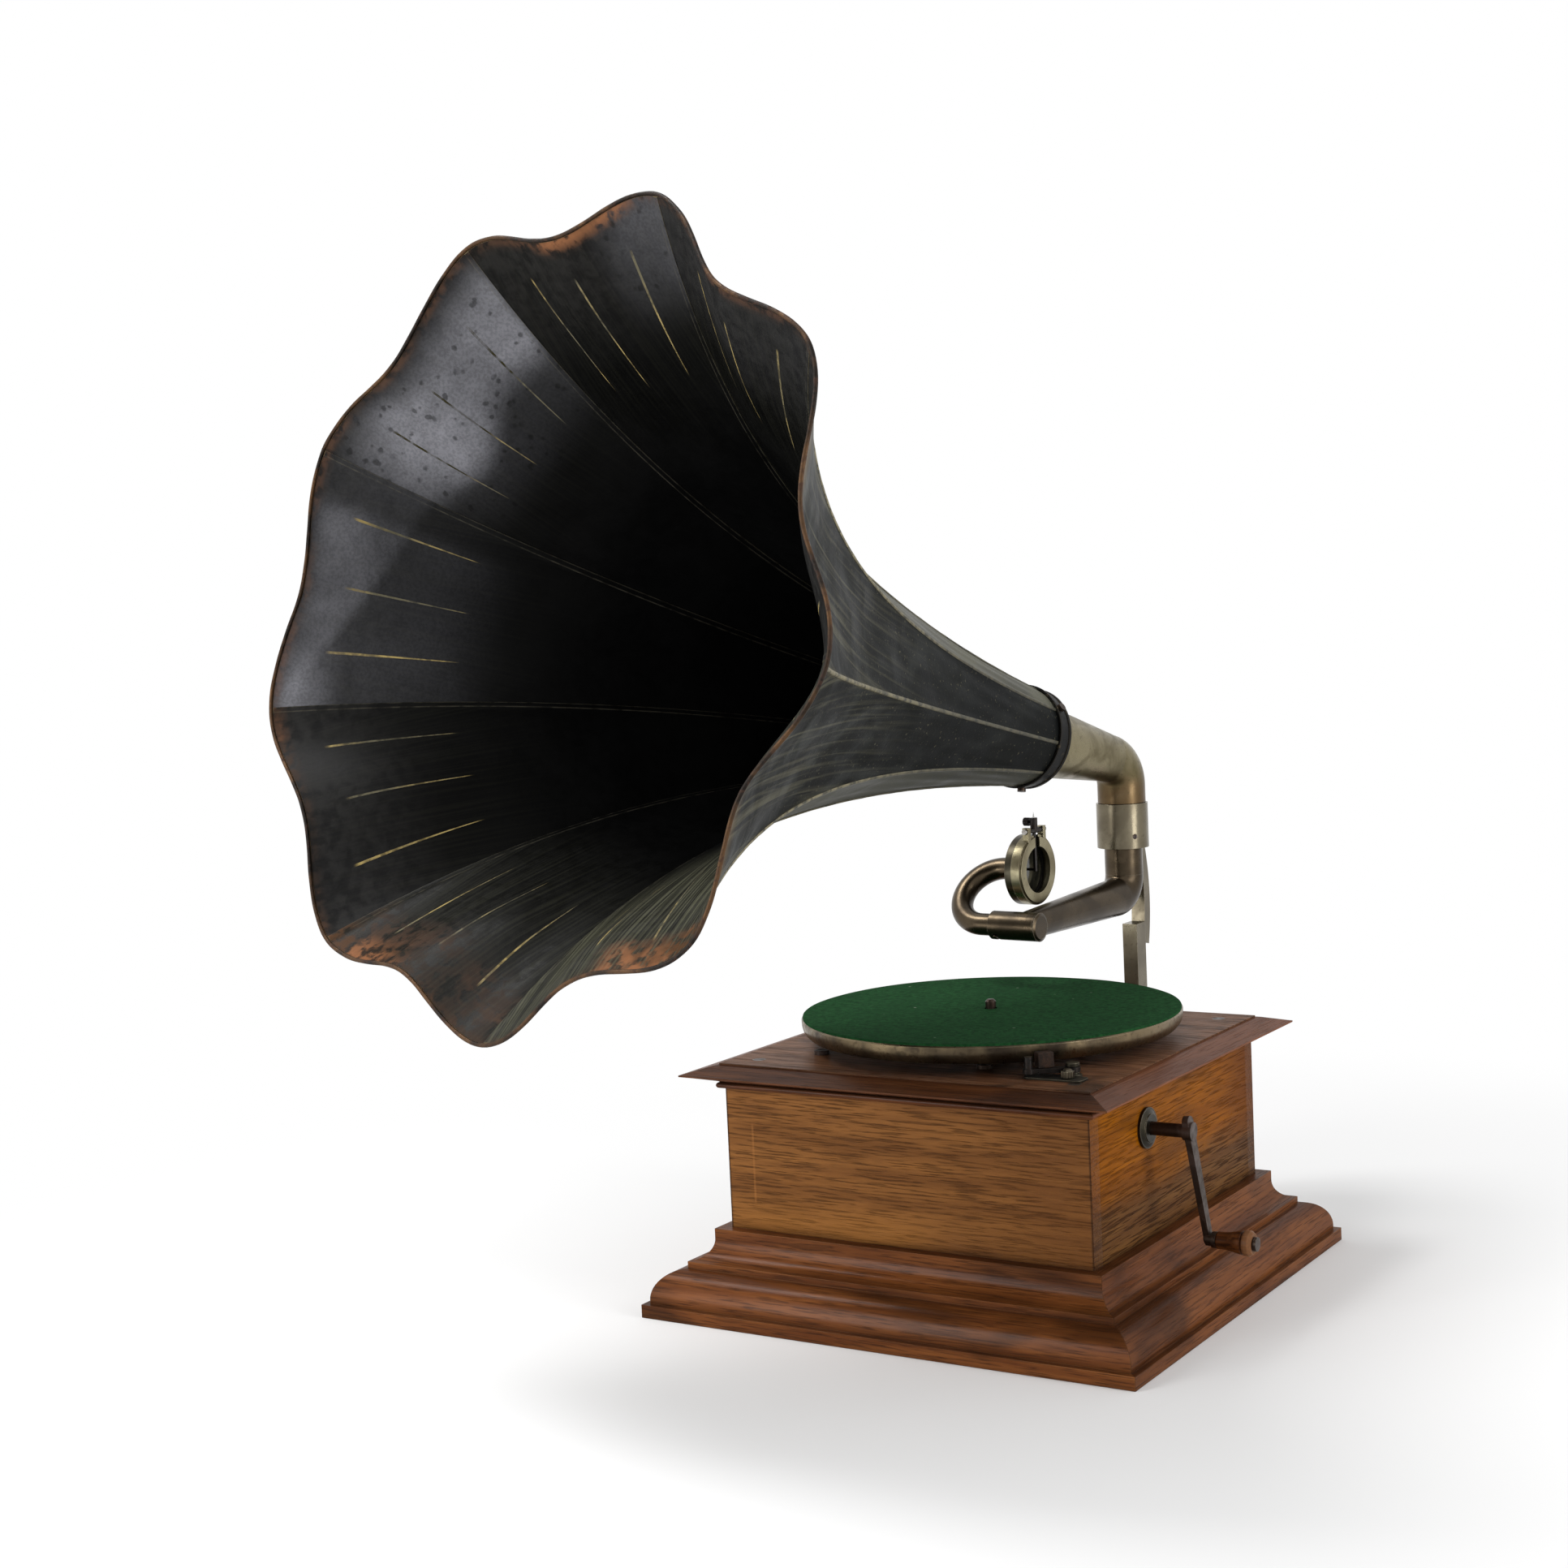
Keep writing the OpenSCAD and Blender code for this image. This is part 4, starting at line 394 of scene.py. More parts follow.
# Crank and escutcheon: a forged crank of browned steel on the winding shaft, which passes through
# a dark plated bush in the side of the case. Its grip is turned of hard wood, stained dark and
# rubbed pale at its outer end.
bush_plating = old_plating("bush_plating", shade(62, 58, 48), shade(38, 35, 27),
                           shade(20, 18, 15), 0.46, 0.36)
dress(bush_plating, "escutcheon")
dress(browned_steel, "crank")
grip_wood = Finish("grip_wood", specular_ior_level=0.03, coat_weight=0.08, coat_roughness=0.3)
grip_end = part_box("crank_grip")[1].x
across, _, _ = grip_wood.axes()
lines = grip_wood.mottle(grip_wood.stretch(30, 500, 500), 1, 4, 0.5)
hand = grip_wood.mottle(grip_wood.place, 120, 4)
base = grip_wood.lay(grip_wood.ease(lines, 0.35, 0.65), shade(84, 46, 20), shade(46, 24, 12))
base = grip_wood.lay(grip_wood.ease(hand, 0.55, 0.7, 0, 0.4), base, shade(112, 68, 36))
rubbed = grip_wood.ease(across, grip_end - 7 * MM, grip_end - 3 * MM, 0, 0.6)
base = grip_wood.lay(rubbed, base, shade(132, 92, 62))
# Painted shade darkens the grip's corners
grip_wood.colour(grip_wood.lay(grip_wood.corners(3 * MM), base, corner_shade_colour))
grip_wood.roughness(grip_wood.ease(hand, 0.3, 0.7, 0.36, 0.55))
grip_wood.relief(lines, 0.08 * MM, 0.5 * MM)
dress(grip_wood, "crank_grip")

# Turntable: a pressed steel plate with a hub in its middle, its edge rolled down and a little in.
# The nickel plating is bright on one side of the rim and worn through to brown on the other.
plate_low, plate_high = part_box("turntable_platter")
plate_centre = (plate_low + plate_high) / 2
plate_r = (plate_high.x - plate_low.x) / 2
plate_steps = 180
plate_bore_r = 4 * MM
plate_hub_r = 13 * MM
plate_t = 2.5 * MM
rim_t = 3 * MM
rim_bevel = 0.8 * MM
rim_roll = 4.5 * MM


def finished_object(name, mesh, *finishes):
    """Puts a mesh in the scene with its finishes, smooth but for its sharp edges."""
    sharp_from = math.radians(38)
    mesh.shade_smooth()
    mesh.set_sharp_from_angle(angle=sharp_from)
    piece = bpy.data.objects.new(name, mesh)
    bpy.context.scene.collection.objects.link(piece)
    for finish in finishes:
        mesh.materials.append(finish.material)
    return piece


def ring_mesh(name, outline, centre, steps, ripple=None):
    """Turns a closed outline of radius and height about a vertical axis; ripple lifts each point."""
    build = bmesh.new()
    rings = []
    for n in range(steps):
        angle = 2 * math.pi * n / steps
        ring = []
        for radius, height in outline:
            x = radius * math.cos(angle)
            y = radius * math.sin(angle)
            lift = ripple(x, y, height) if ripple else 0.0
            ring.append(build.verts.new((centre.x + x, centre.y + y, height + lift)))
        rings.append(ring)
    count = len(outline)
    for n in range(steps):
        one, two = rings[n], rings[(n + 1) % steps]
        for i in range(count):
            j = (i + 1) % count
            build.faces.new((one[i], two[i], two[j], one[j]))
    bmesh.ops.recalc_face_normals(build, faces=build.faces)
    mesh = bpy.data.meshes.new(name)
    build.to_mesh(mesh)
    build.free()
    return mesh


rolled = []
for n in range(11):
    down = n / 10
    drop = rim_bevel + (plate_high.z - plate_low.z - rim_bevel) * down
    rolled.append((plate_r - rim_roll * down ** 3, plate_high.z - drop))
under = plate_high.z - plate_t
plate_outline = [(plate_bore_r, plate_low.z), (plate_hub_r, plate_low.z), (plate_hub_r, under),
                 (plate_r - rim_t, under)]
plate_outline += [(radius - rim_t, height) for radius, height in rolled[3:]]
plate_outline += rolled[::-1] + [(plate_r - rim_bevel, plate_high.z), (plate_bore_r, plate_high.z)]

rim_plating = Finish("rim_plating")
across, _, _ = rim_plating.axes()
fine = rim_plating.mottle(rim_plating.place, 260, 5, 0.3)
broad = rim_plating.mottle(rim_plating.place, 20, 4, 0.5)
bright = rim_plating.ease(rim_plating.plus(broad, rim_plating.times(across, 0.7)), 0.4, 0.66)
base = rim_plating.lay(bright, shade(50, 41, 30), shade(122, 107, 82))
base = rim_plating.lay(rim_plating.ease(fine, 0.52, 0.66, 0, 0.4), base, shade(36, 28, 21))
rim_plating.colour(rim_plating.lay(rim_plating.times(rim_plating.edges(0.8 * MM), 0.5), base,
                                   shade(140, 128, 104)))
rim_plating.metal(rim_plating.ease(bright, 0, 1, 0.8, 0.97))
rim_plating.roughness(rim_plating.ease(fine, 0.3, 0.7, 0.26, 0.44))
rim_plating.relief(fine, 0.05 * MM, 0.6 * MM)
plate_mesh = ring_mesh("turntable_plate", plate_outline, plate_centre, plate_steps)
turntable_plate = finished_object("turntable_plate", plate_mesh, rim_plating)
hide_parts("turntable_platter")
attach(turntable_plate, "turntable")

# Felt: a round of green wool felt, 1.5 mm thick, glued on the turntable with a hole for the
# spindle. It is rubbed by records, and holds lint and a few pale specks.
felt_low, felt_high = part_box("turntable_felt")
felt_centre = (felt_low + felt_high) / 2
felt_r = (felt_high.x - felt_low.x) / 2
felt_hole_r = 4.3 * MM
felt_round = 0.5 * MM
felt_flat_r = felt_r - felt_round
felt_rings = 40
felt_outline = []
for n in range(felt_rings + 1):
    felt_outline.append((felt_hole_r + (felt_flat_r - felt_hole_r) * n / felt_rings, felt_high.z))
for turn in (math.radians(30), math.radians(60), math.radians(90)):
    felt_outline.append((felt_flat_r + felt_round * math.sin(turn),
                         felt_high.z - felt_round * (1 - math.cos(turn))))
felt_outline += [(felt_r, felt_low.z), (felt_hole_r, felt_low.z)]


def felt_ripple(x, y, height):
    """The felt lies a little uneven, and is never higher than its own thickness."""
    if height < felt_low.z + felt_round:
        return 0.0
    wave = math.sin(61 * x + 2) * math.cos(47 * y) + 0.6 * math.sin(130 * x - 90 * y)
    return -0.05 * MM * (1.6 + wave)


wool = Finish("green_felt", roughness=0.95, specular_ior_level=0.04, sheen_weight=0.04, sheen_roughness=0.5)
wool.shader.inputs["Sheen Tint"].default_value = shade(90, 150, 100)
fuzz = wool.mottle(wool.place, 1500, 4)
felting = wool.mottle(wool.place, 260, 6, 0.8)
rubbed = wool.mottle(wool.place, 22, 3, 0.4)
base = wool.lay(wool.ease(felting, 0.34, 0.66), shade(19, 50, 26), shade(33, 76, 41))
base = wool.lay(wool.ease(rubbed, 0.35, 0.7, 0, 0.4), base, shade(22, 56, 30))
base = wool.lay(wool.ease(fuzz, 0.56, 0.76, 0, 0.5), base, shade(48, 94, 56))
lint = wool.step("TexVoronoi", wool.place)
lint.inputs["Scale"].default_value = 75
lint_spot = wool.times(wool.ease(lint.outputs["Distance"], 0.1, 0.04), wool.ease(rubbed, 0.52, 0.6))
wool.colour(wool.lay(wool.times(lint_spot, 0.75), base, shade(150, 160, 140)))
wool.relief(wool.plus(wool.times(fuzz, 0.5), felting), 0.5 * MM)
felt_mesh = ring_mesh("felt", felt_outline, felt_centre, plate_steps, felt_ripple)
felt = finished_object("felt", felt_mesh, wool)
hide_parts("turntable_felt")
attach(felt, "turntable")

# Brake and speed control: a black steel lever with a leather pad that is glued on it and presses
# on the turntable's rim, its post on a dark plated plate, and a plated knob that sets the speed.
dress(bush_plating, "control_plate")
black_steel = iron("black_steel", shade(30, 27, 25), shade(42, 30, 23), 0.58, 0.75, 0.26)
dress(black_steel, "brake_lever")
knob_plating = old_plating("knob_plating", shade(110, 102, 86), shade(54, 46, 36),
                           shade(22, 18, 15), 0.5, 0.24)
dress(knob_plating, "speed_knob")


def softened(name, node, radius, finish, body):
    """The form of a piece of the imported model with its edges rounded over, in its place."""
    build = bmesh.new()
    build.from_mesh(nodes[node].data)
    bmesh.ops.remove_doubles(build, verts=build.verts, dist=0.002 * MM)
    bmesh.ops.dissolve_limit(build, angle_limit=math.radians(1), verts=build.verts, edges=build.edges)
    sharp = []
    for edge in build.edges:
        if len(edge.link_faces) == 2 and edge.calc_face_angle(0) > math.radians(30):
            sharp.append(edge)
    bmesh.ops.bevel(build, geom=sharp, offset=radius, segments=3, profile=0.6, affect="EDGES")
    bmesh.ops.triangulate(build, faces=build.faces)
    mesh = bpy.data.meshes.new(name)
    build.to_mesh(mesh)
    build.free()
    piece = finished_object(name, mesh, finish)
    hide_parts(node)
    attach(piece, body)
    return piece


hide = Finish("brake_leather", roughness=0.7, specular_ior_level=0.2)
creases = hide.step("TexVoronoi", hide.place, feature="DISTANCE_TO_EDGE")
creases.inputs["Scale"].default_value = 900
grain = hide.ease(creases.outputs["Distance"], 0.0, 0.2)
tone = hide.mottle(hide.place, 200, 4)
hide.colour(hide.lay(hide.ease(tone, 0.3, 0.7), shade(26, 18, 13), shade(54, 36, 25)))
hide.relief(grain, 0.1 * MM)
leather_pad = softened("leather_pad", "brake_pad", 0.5 * MM, hide, "brake")

# Tone arm: a drawn brass tube that hangs in the collar, with a cross tube and its cap, and the
# gooseneck that turns in it. All are nickel plated and have browned with handling.
arm_plating = old_plating("arm_plating", shade(84, 73, 58), shade(50, 42, 32), shade(20, 17, 13), 0.5, 0.24)
dress(arm_plating, "tone_arm", "arm_end_cap", "gooseneck")

# Soundbox: a plated shell with a pale gold ring screwed over a mica diaphragm between two rubber
# gaskets. A rubber flange holds it on the gooseneck, and a black steel bar carries the needle.
shell_plating = old_plating("shell_plating", shade(92, 88, 74), shade(54, 48, 38),
                            shade(22, 19, 15), 0.48, 0.26)
dress(shell_plating, "soundbox_shell")
ring_plating = old_plating("ring_plating", shade(162, 155, 127), shade(100, 90, 66),
                           shade(34, 28, 20), 0.5, 0.26)
dress(ring_plating, "soundbox_ring")
dress(turned_steel, "needle", "pivot_screws")
dress(black_steel, "needle_screw", "stylus_bar")
sheet_mica = Finish("sheet_mica", roughness=0.12, coat_weight=0.6, coat_roughness=0.05)
flakes = sheet_mica.mottle(sheet_mica.place, 140, 5, 1.2)
sheet_mica.colour(sheet_mica.lay(sheet_mica.ease(flakes, 0.3, 0.7), shade(12, 13, 12), shade(36, 35, 28)))
sheet_mica.relief(flakes, 0.1 * MM)
dress(sheet_mica, "diaphragm")
gum = Finish("black_rubber", roughness=0.6, specular_ior_level=0.25)
bloom = gum.mottle(gum.place, 300, 5)
gum.colour(gum.lay(gum.ease(bloom, 0.4, 0.75), shade(20, 19, 18), shade(44, 40, 35)))
gum.relief(bloom, 0.08 * MM)
dress(gum, "soundbox_gaskets")
rubber_seat = softened("rubber_seat", "rubber_flange", 0.5 * MM, gum, "gooseneck")

# Horn panels: nine panels of tinned sheet iron, curved and flared, folded together along their
# seams. They are lacquered black, with three gold lines drawn on each inside; outside the lacquer
# has greyed and worn through to a brassy undercoat on the seams.
PANELS = 9
HALF_PANEL = math.pi / PANELS
horn_l = 469 * MM
throat_r = 33.5 * MM
rim_tip_r = 246 * MM
rim_dip_r = 221 * MM
flare = 2.25
rim_curl = 3 * MM
sheet_t = 0.8 * MM
seam_turn = math.radians(17)
pivot = Vector((0, 218 * MM, 0))
horn_start = Vector((0, -106 * MM, 356.5 * MM))
horn_swivel = math.radians(-12)
horn_tilt = math.radians(90 - 13.2)
horn_place = (Matrix.Translation(pivot) @ Matrix.Rotation(horn_swivel, 4, "Z")
              @ Matrix.Translation(horn_start) @ Matrix.Rotation(horn_tilt, 4, "X"))
lap_w = 3.2 * MM
lap_t = 0.45 * MM
fold_w = 2.6 * MM
fold_t = 1.0 * MM
fold_sunk = 0.25 * MM
fold_points, fold_sides = 80, 7
gold_lines = (-0.57, 0.0, 0.6)
gold_from, gold_to = 0.822, 0.962
OUTSIDE, INSIDE, SEAM = 0, 1, 2

# Seen from the front, the panels are counted clockwise from the one at the upper right. Each dent
# has its panel, its place along and across it, and its radius and depth in millimetres.
dents = ((6, 0.95, 0.42, 26, 3.4), (6, 0.985, -0.15, 20, 2.2), (6, 0.84, 0.1, 40, 1.6),
         (7, 0.9, -0.3, 46, 1.5), (3, 0.95, 0.25, 30, 3.0), (2, 0.97, 0.5, 24, 2.4),
         (4, 0.9, -0.35, 34, 2.0), (5, 0.93, 0.3, 36, 1.4), (0, 0.88, 0.2, 40, 1.2),
         (1, 0.6, 0.1, 36, 1.4), (8, 0.93, -0.35, 30, 1.5), (2, 0.45, -0.2, 26, 1.2))


def smooth(value):
    """Goes smoothly from 0 to 1 as the value does, and stays level beyond them."""
    held = np.clip(value, 0, 1)
    return held * held * (3 - 2 * held)


def seam_radius(along):
    """The horn's radius at its seams, from the throat at 0 to the rim at 1."""
    return throat_r + (rim_tip_r - throat_r) * (np.exp(flare * along) - 1) / (math.exp(flare) - 1)


def panel_points(panel, along, across, inset):
    """Points of a panel: along from throat to rim and across from -1 to 1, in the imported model's frame."""
    angle = HALF_PANEL * across
    rim = smooth((along - 0.72) / 0.28)
    flat = 1 - (1 - (1 - along) ** 3) * (1 - math.cos(HALF_PANEL) / np.cos(angle))
    wave = (rim_tip_r + rim_dip_r - (rim_tip_r - rim_dip_r) * np.cos(PANELS * angle)) / (2 * rim_tip_r)
    radius = seam_radius(along) * (flat * (1 - rim) + wave * rim) - inset
    height = horn_l * along + rim_curl * rim * (1 + np.cos(PANELS * angle)) / 2
    free = smooth((1 - np.abs(across)) / 0.25) * smooth(along / 0.15)
    uneven = np.sin(23 * along + 3 * across + panel) * np.sin(5 * across + 1.7 * panel)
    radius = radius - 0.5 * MM * free * (1 + uneven)
    for dented, place_along, place_across, size, depth in dents:
        if dented == panel:
            half = seam_radius(place_along) * math.sin(HALF_PANEL)
            off = ((along - place_along) * horn_l * 1.25) ** 2 + ((across - place_across) * half) ** 2
            radius = radius - depth * MM * np.exp(-off / (0.5 * (size * MM) ** 2)) * free
    turn = seam_turn + HALF_PANEL * (2 * panel + 1) + angle
    points = np.stack([radius * np.sin(turn), radius * np.cos(turn), height, np.ones_like(radius)], -1)
    return (points @ np.array(horn_place).T)[..., :3]


def panel_wear(panel, along, across):
    """How bloomed, with painted sheen, spotted, olive and rusty a panel is inside and how pale outside, from
    0 to 1.
    """
    near_rim = smooth((along - 0.86) / 0.1)
    bloom_and_sheen = {0: 0.03, 4: 0.0}.get(panel, 0.02) * near_rim
    spotted = 0.25
    # The upper left panel has bloomed grey from a wavy edge on, with a painted reflection on the bloom, and
    # its neighbours have a little
    if panel == 7:
        inner = 0.862 + 0.016 * across + 0.008 * np.sin(5 * across)
        bloom_and_sheen = 0.6 * smooth((along - inner) / 0.045) + 0.1 * smooth((along - 0.79) / 0.08)
        bloom_and_sheen = bloom_and_sheen * smooth((1.004 - along) / 0.05)
        bloom_and_sheen = bloom_and_sheen * smooth((across + 1.3) / 0.75) * smooth((1.1 - across) / 0.2)
        spotted = 1.0
    if panel == 6:
        slant = along - 0.93 + 0.05 * across
        bloom_and_sheen = 0.2 * smooth(slant / 0.012) + 0.1 * smooth((along - 0.76) / 0.12)
        bloom_and_sheen = bloom_and_sheen + 0.42 * smooth((along - 0.93) / 0.05) * smooth((-0.4 - across) / 0.5)
        bloom_and_sheen = bloom_and_sheen * smooth((1.01 - along) / 0.03) * (1 - 0.7 * smooth((across - 0.55) / 0.2))
    if panel == 8:
        bloom_and_sheen = 0.2 * smooth((along - 0.87) / 0.1) * smooth((across - 0.2) / 0.5)
        spotted = 0.8
    olive = smooth((along - 0.68) / 0.2) * {3: 0.6, 2: 0.4, 0: 0.04, 4: 0.1}.get(panel, 0.03)
    # Rust comes through at the rim, most on the lower panels and the top one
    rust = 0.2 * smooth((along - 0.99) / 0.008)
    if panel == 3:
        rust = rust + smooth((along - 0.95) / 0.03) * smooth((0.0 - across) / 0.5)
    if panel == 2:
        rust = rust + smooth((along - 0.965) / 0.025) * smooth((across - 0.4) / 0.4)
    if panel == 4:
        rust = rust + 0.7 * smooth((along - 0.968) / 0.02) * smooth((across - 0.05) / 0.35)
        rust = rust + 0.16 * smooth((along - 0.92) / 0.06)
    if panel == 8:
        in_middle = smooth((across + 0.35) / 0.3) * smooth((0.8 - across) / 0.2)
        rust = rust + 0.7 * smooth((along - 0.985) / 0.012) * in_middle
    if panel == 5:
        rust = rust + 0.3 * smooth((along - 0.985) / 0.012) * smooth((across - 0.2) / 0.4)
    pale = np.full_like(along, {0: 0.8, 3: 0.42, 1: 0.0, 2: 0.0}.get(panel, 0.2))
    return {"bloom_and_sheen": np.clip(bloom_and_sheen, 0, 1), "spotted": np.full_like(along, spotted), "olive": olive,
            "rust": np.clip(rust, 0, 1), "pale": pale}


def seam_fold(panel, along):
    """Points of the folded seam, side by side: a low ridge along the panel's last edge, on the outside."""
    path = panel_points(panel, along, np.ones(fold_points), 0)
    tangent = np.gradient(path, axis=0)
    tangent /= np.linalg.norm(tangent, axis=1)[:, None]
    axis = np.array(horn_place.col[2].xyz)
    radial = path - np.array(horn_place.translation)
    radial -= (radial @ axis)[:, None] * axis
    radial -= (radial * tangent).sum(1)[:, None] * tangent
    radial /= np.linalg.norm(radial, axis=1)[:, None]
    side = np.cross(tangent, radial)
    count = np.arange(fold_points)
    rough = 1 + 0.12 * np.sin(count * 1.9 + panel) * np.sin(count * 0.7)
    sides = []
    for turn in np.linspace(0, math.pi, fold_sides):
        wide_by = fold_w / 2 * math.cos(turn)
        high_by = fold_t * math.sin(turn) - fold_sunk
        sides.append(path + side * wide_by + radial * (high_by * rough)[:, None])
    return sides


def panel_mesh(name, panel):
    """One panel with its thickness, the lap inside its seam and the folded seam outside it."""
    rows, cols = 96, 44
    along = 1 - (1 - np.linspace(0, 1, rows)) ** 1.25
    half = seam_radius(along) * math.sin(HALF_PANEL)
    lap = lap_w * np.minimum(1, half / (40 * MM))
    ends = 1 - lap / half
    across = np.array([np.concatenate([np.linspace(-1, e - 0.012, cols), [e, 1]]) for e in ends])
    grid = np.repeat(along[:, None], cols + 2, 1)
    outer = panel_points(panel, grid, across, 0)
    in_lap = (across >= ends[:, None] - 1e-9)
    inner = panel_points(panel, grid, across, sheet_t + lap_t * in_lap * smooth(grid / 0.1))
    wide = cols + 2
    size = rows * wide
    faces, kinds = [], []
    for i in range(rows - 1):
        for j in range(wide - 1):
            p = i * wide + j
            faces.append((p, p + wide, p + wide + 1, p + 1))
            kinds.append(OUTSIDE)
            faces.append((size + p, size + p + 1, size + p + wide + 1, size + p + wide))
            kinds.append(INSIDE)
    for j in range(wide - 1):
        top = (rows - 1) * wide + j
        faces.append((j, j + 1, size + j + 1, size + j))
        faces.append((top, size + top, size + top + 1, top + 1))
        kinds += [OUTSIDE, OUTSIDE]
    for i in range(rows - 1):
        p = i * wide
        q = p + wide - 1
        faces.append((p, size + p, size + p + wide, p + wide))
        faces.append((q, q + wide, size + q + wide, size + q))
        kinds += [OUTSIDE, OUTSIDE]
    points = [outer.reshape(-1, 3), inner.reshape(-1, 3)]
    fold_along = np.linspace(0.012, 0.985, fold_points)
    flat_across = np.concatenate([across.ravel(), across.ravel(), np.ones(fold_sides * fold_points)])
    flat_along = np.concatenate([grid.ravel(), grid.ravel(), np.tile(fold_along, fold_sides)])
    points += seam_fold(panel, fold_along)
    for i in range(fold_points - 1):
        for j in range(fold_sides - 1):
            p = 2 * size + j * fold_points + i
            faces.append((p, p + fold_points, p + fold_points + 1, p + 1))
            kinds.append(SEAM)
    mesh = bpy.data.meshes.new(name)
    mesh.from_pydata(np.concatenate(points).tolist(), [], faces)
    mesh.polygons.foreach_set("material_index", kinds)
    levels = panel_wear(panel, flat_along, flat_across)
    levels["along"] = flat_along
    levels["across"] = flat_across
    levels["half"] = seam_radius(flat_along) * math.sin(HALF_PANEL)
    for label, values in levels.items():
        mesh.attributes.new(label, "FLOAT", "POINT").data.foreach_set("value", values.astype(np.float32))
    return mesh


def attribute(finish, name):
    """A value that the panel's mesh carries at each point."""
    return finish.step("Attribute", attribute_name=name).outputs["Fac"]


def lengthwise(finish, repeats, along_repeats, detail, distortion=0.0):
    """Mottle drawn out along the horn's length."""
    side = finish.times(attribute(finish, "across"), attribute(finish, "half"))
    length = finish.times(attribute(finish, "along"), along_repeats)
    place = finish.step("CombineXYZ", finish.times(side, repeats), length, 0.0).outputs[0]
    return finish.mottle(place, 1, detail, distortion)


inside_lacquer = Finish("inside_lacquer", specular_ior_level=0.04)
cloud = inside_lacquer.mottle(inside_lacquer.place, 130, 5, 0.3)
haze = inside_lacquer.mottle(inside_lacquer.place, 20, 4, 0.4)
crazing = inside_lacquer.mottle(inside_lacquer.place, 520, 4)
scratches = lengthwise(inside_lacquer, 520, 4, 3, 0.2)
cells = inside_lacquer.step("TexVoronoi", inside_lacquer.place)
cells.inputs["Scale"].default_value = 130
spot = inside_lacquer.plus(cells.outputs["Distance"], inside_lacquer.times(cloud, 0.9))
bloom_and_sheen = attribute(inside_lacquer, "bloom_and_sheen")
along = attribute(inside_lacquer, "along")
across = attribute(inside_lacquer, "across")
half = attribute(inside_lacquer, "half")
spot_groups = inside_lacquer.mottle(inside_lacquer.place, 44, 3, 0.3)
spotting = inside_lacquer.times(inside_lacquer.ease(spot, 0.78, 0.5), attribute(inside_lacquer, "spotted"))
spotting = inside_lacquer.times(spotting, inside_lacquer.ease(spot_groups, 0.4, 0.58, 0.2, 1.0))
base = inside_lacquer.lay(inside_lacquer.ease(haze, 0.35, 0.7), shade(7, 7, 7), shade(12, 12, 12))
near_rim = inside_lacquer.ease(along, 0.84, 0.99, 0, 0.08)
base = inside_lacquer.lay(inside_lacquer.times(near_rim, inside_lacquer.ease(cloud, 0.35, 0.65, 0.3, 1.0)),
                          base, shade(112, 110, 106))
# Painted reflection: the grey bloom is painted as bright as the lamp light that it reflects
grey_bloom_and_sheen = inside_lacquer.times(bloom_and_sheen, inside_lacquer.ease(spotting, 0.0, 0.8, 1.0, 0.42))
grey_bloom_and_sheen = inside_lacquer.times(grey_bloom_and_sheen, inside_lacquer.ease(haze, 0.3, 0.62, 1.0, 0.62))
grey_bloom_and_sheen = inside_lacquer.times(grey_bloom_and_sheen, inside_lacquer.ease(crazing, 0.62, 0.4, 0.76, 1.0))
base = inside_lacquer.lay(grey_bloom_and_sheen, base, shade(156, 156, 163))
streaked = inside_lacquer.times(attribute(inside_lacquer, "olive"),
                                inside_lacquer.ease(scratches, 0.4, 0.7, 0.1, 1.0))
base = inside_lacquer.lay(streaked, base, shade(98, 98, 80))
# The seam shows as two thin lines where the lap has been rubbed
from_seam = inside_lacquer.times(inside_lacquer.minus(1.0, across), half)
from_lap = inside_lacquer.unsigned(inside_lacquer.minus(from_seam, lap_w))
seam_line = inside_lacquer.larger(inside_lacquer.below(from_seam, 0.5 * MM),
                                  inside_lacquer.below(from_lap, 0.4 * MM))
seam_line = inside_lacquer.times(seam_line, inside_lacquer.ease(cloud, 0.35, 0.6, 0.06, 0.32))
base = inside_lacquer.lay(seam_line, base, shade(92, 88, 76))
# The gold lines run along each panel near its rim, and have worn away in places
off_lines = [inside_lacquer.unsigned(inside_lacquer.minus(across, line_at)) for line_at in gold_lines]
off_line = inside_lacquer.smaller(inside_lacquer.smaller(off_lines[0], off_lines[1]), off_lines[2])
off_line = inside_lacquer.times(off_line, half)
in_length = inside_lacquer.times(inside_lacquer.ease(along, gold_from, gold_from + 0.02),
                                 inside_lacquer.ease(along, gold_to, gold_to - 0.008))
line_w = inside_lacquer.ease(along, gold_from, gold_to, 0.3 * MM, 0.8 * MM)
drawn_line = inside_lacquer.times(inside_lacquer.below(off_line, line_w), in_length)
drawn_line = inside_lacquer.times(drawn_line, inside_lacquer.ease(cloud, 0.64, 0.42, 0.3, 1.0))
worn_gold = inside_lacquer.lay(inside_lacquer.ease(haze, 0.38, 0.6), shade(170, 150, 96),
                               shade(104, 99, 80))
gold = inside_lacquer.lay(inside_lacquer.ease(bloom_and_sheen, 0.15, 0.5), worn_gold, shade(50, 46, 26))
base = inside_lacquer.lay(drawn_line, base, gold)
rusted = inside_lacquer.times(attribute(inside_lacquer, "rust"),
                              inside_lacquer.ease(cloud, 0.38, 0.56, 0.1, 1.0))
copper = inside_lacquer.lay(inside_lacquer.ease(haze, 0.4, 0.56), shade(80, 54, 34), shade(146, 97, 64))
base = inside_lacquer.lay(inside_lacquer.times(rusted, 0.88), base, copper)
inside_lacquer.colour(base)
inside_lacquer.roughness(inside_lacquer.ease(cloud, 0.35, 0.65, 0.34, 0.5))
bumps = inside_lacquer.plus(inside_lacquer.times(crazing, 0.25), cloud)
inside_lacquer.relief(bumps, 0.14 * MM)

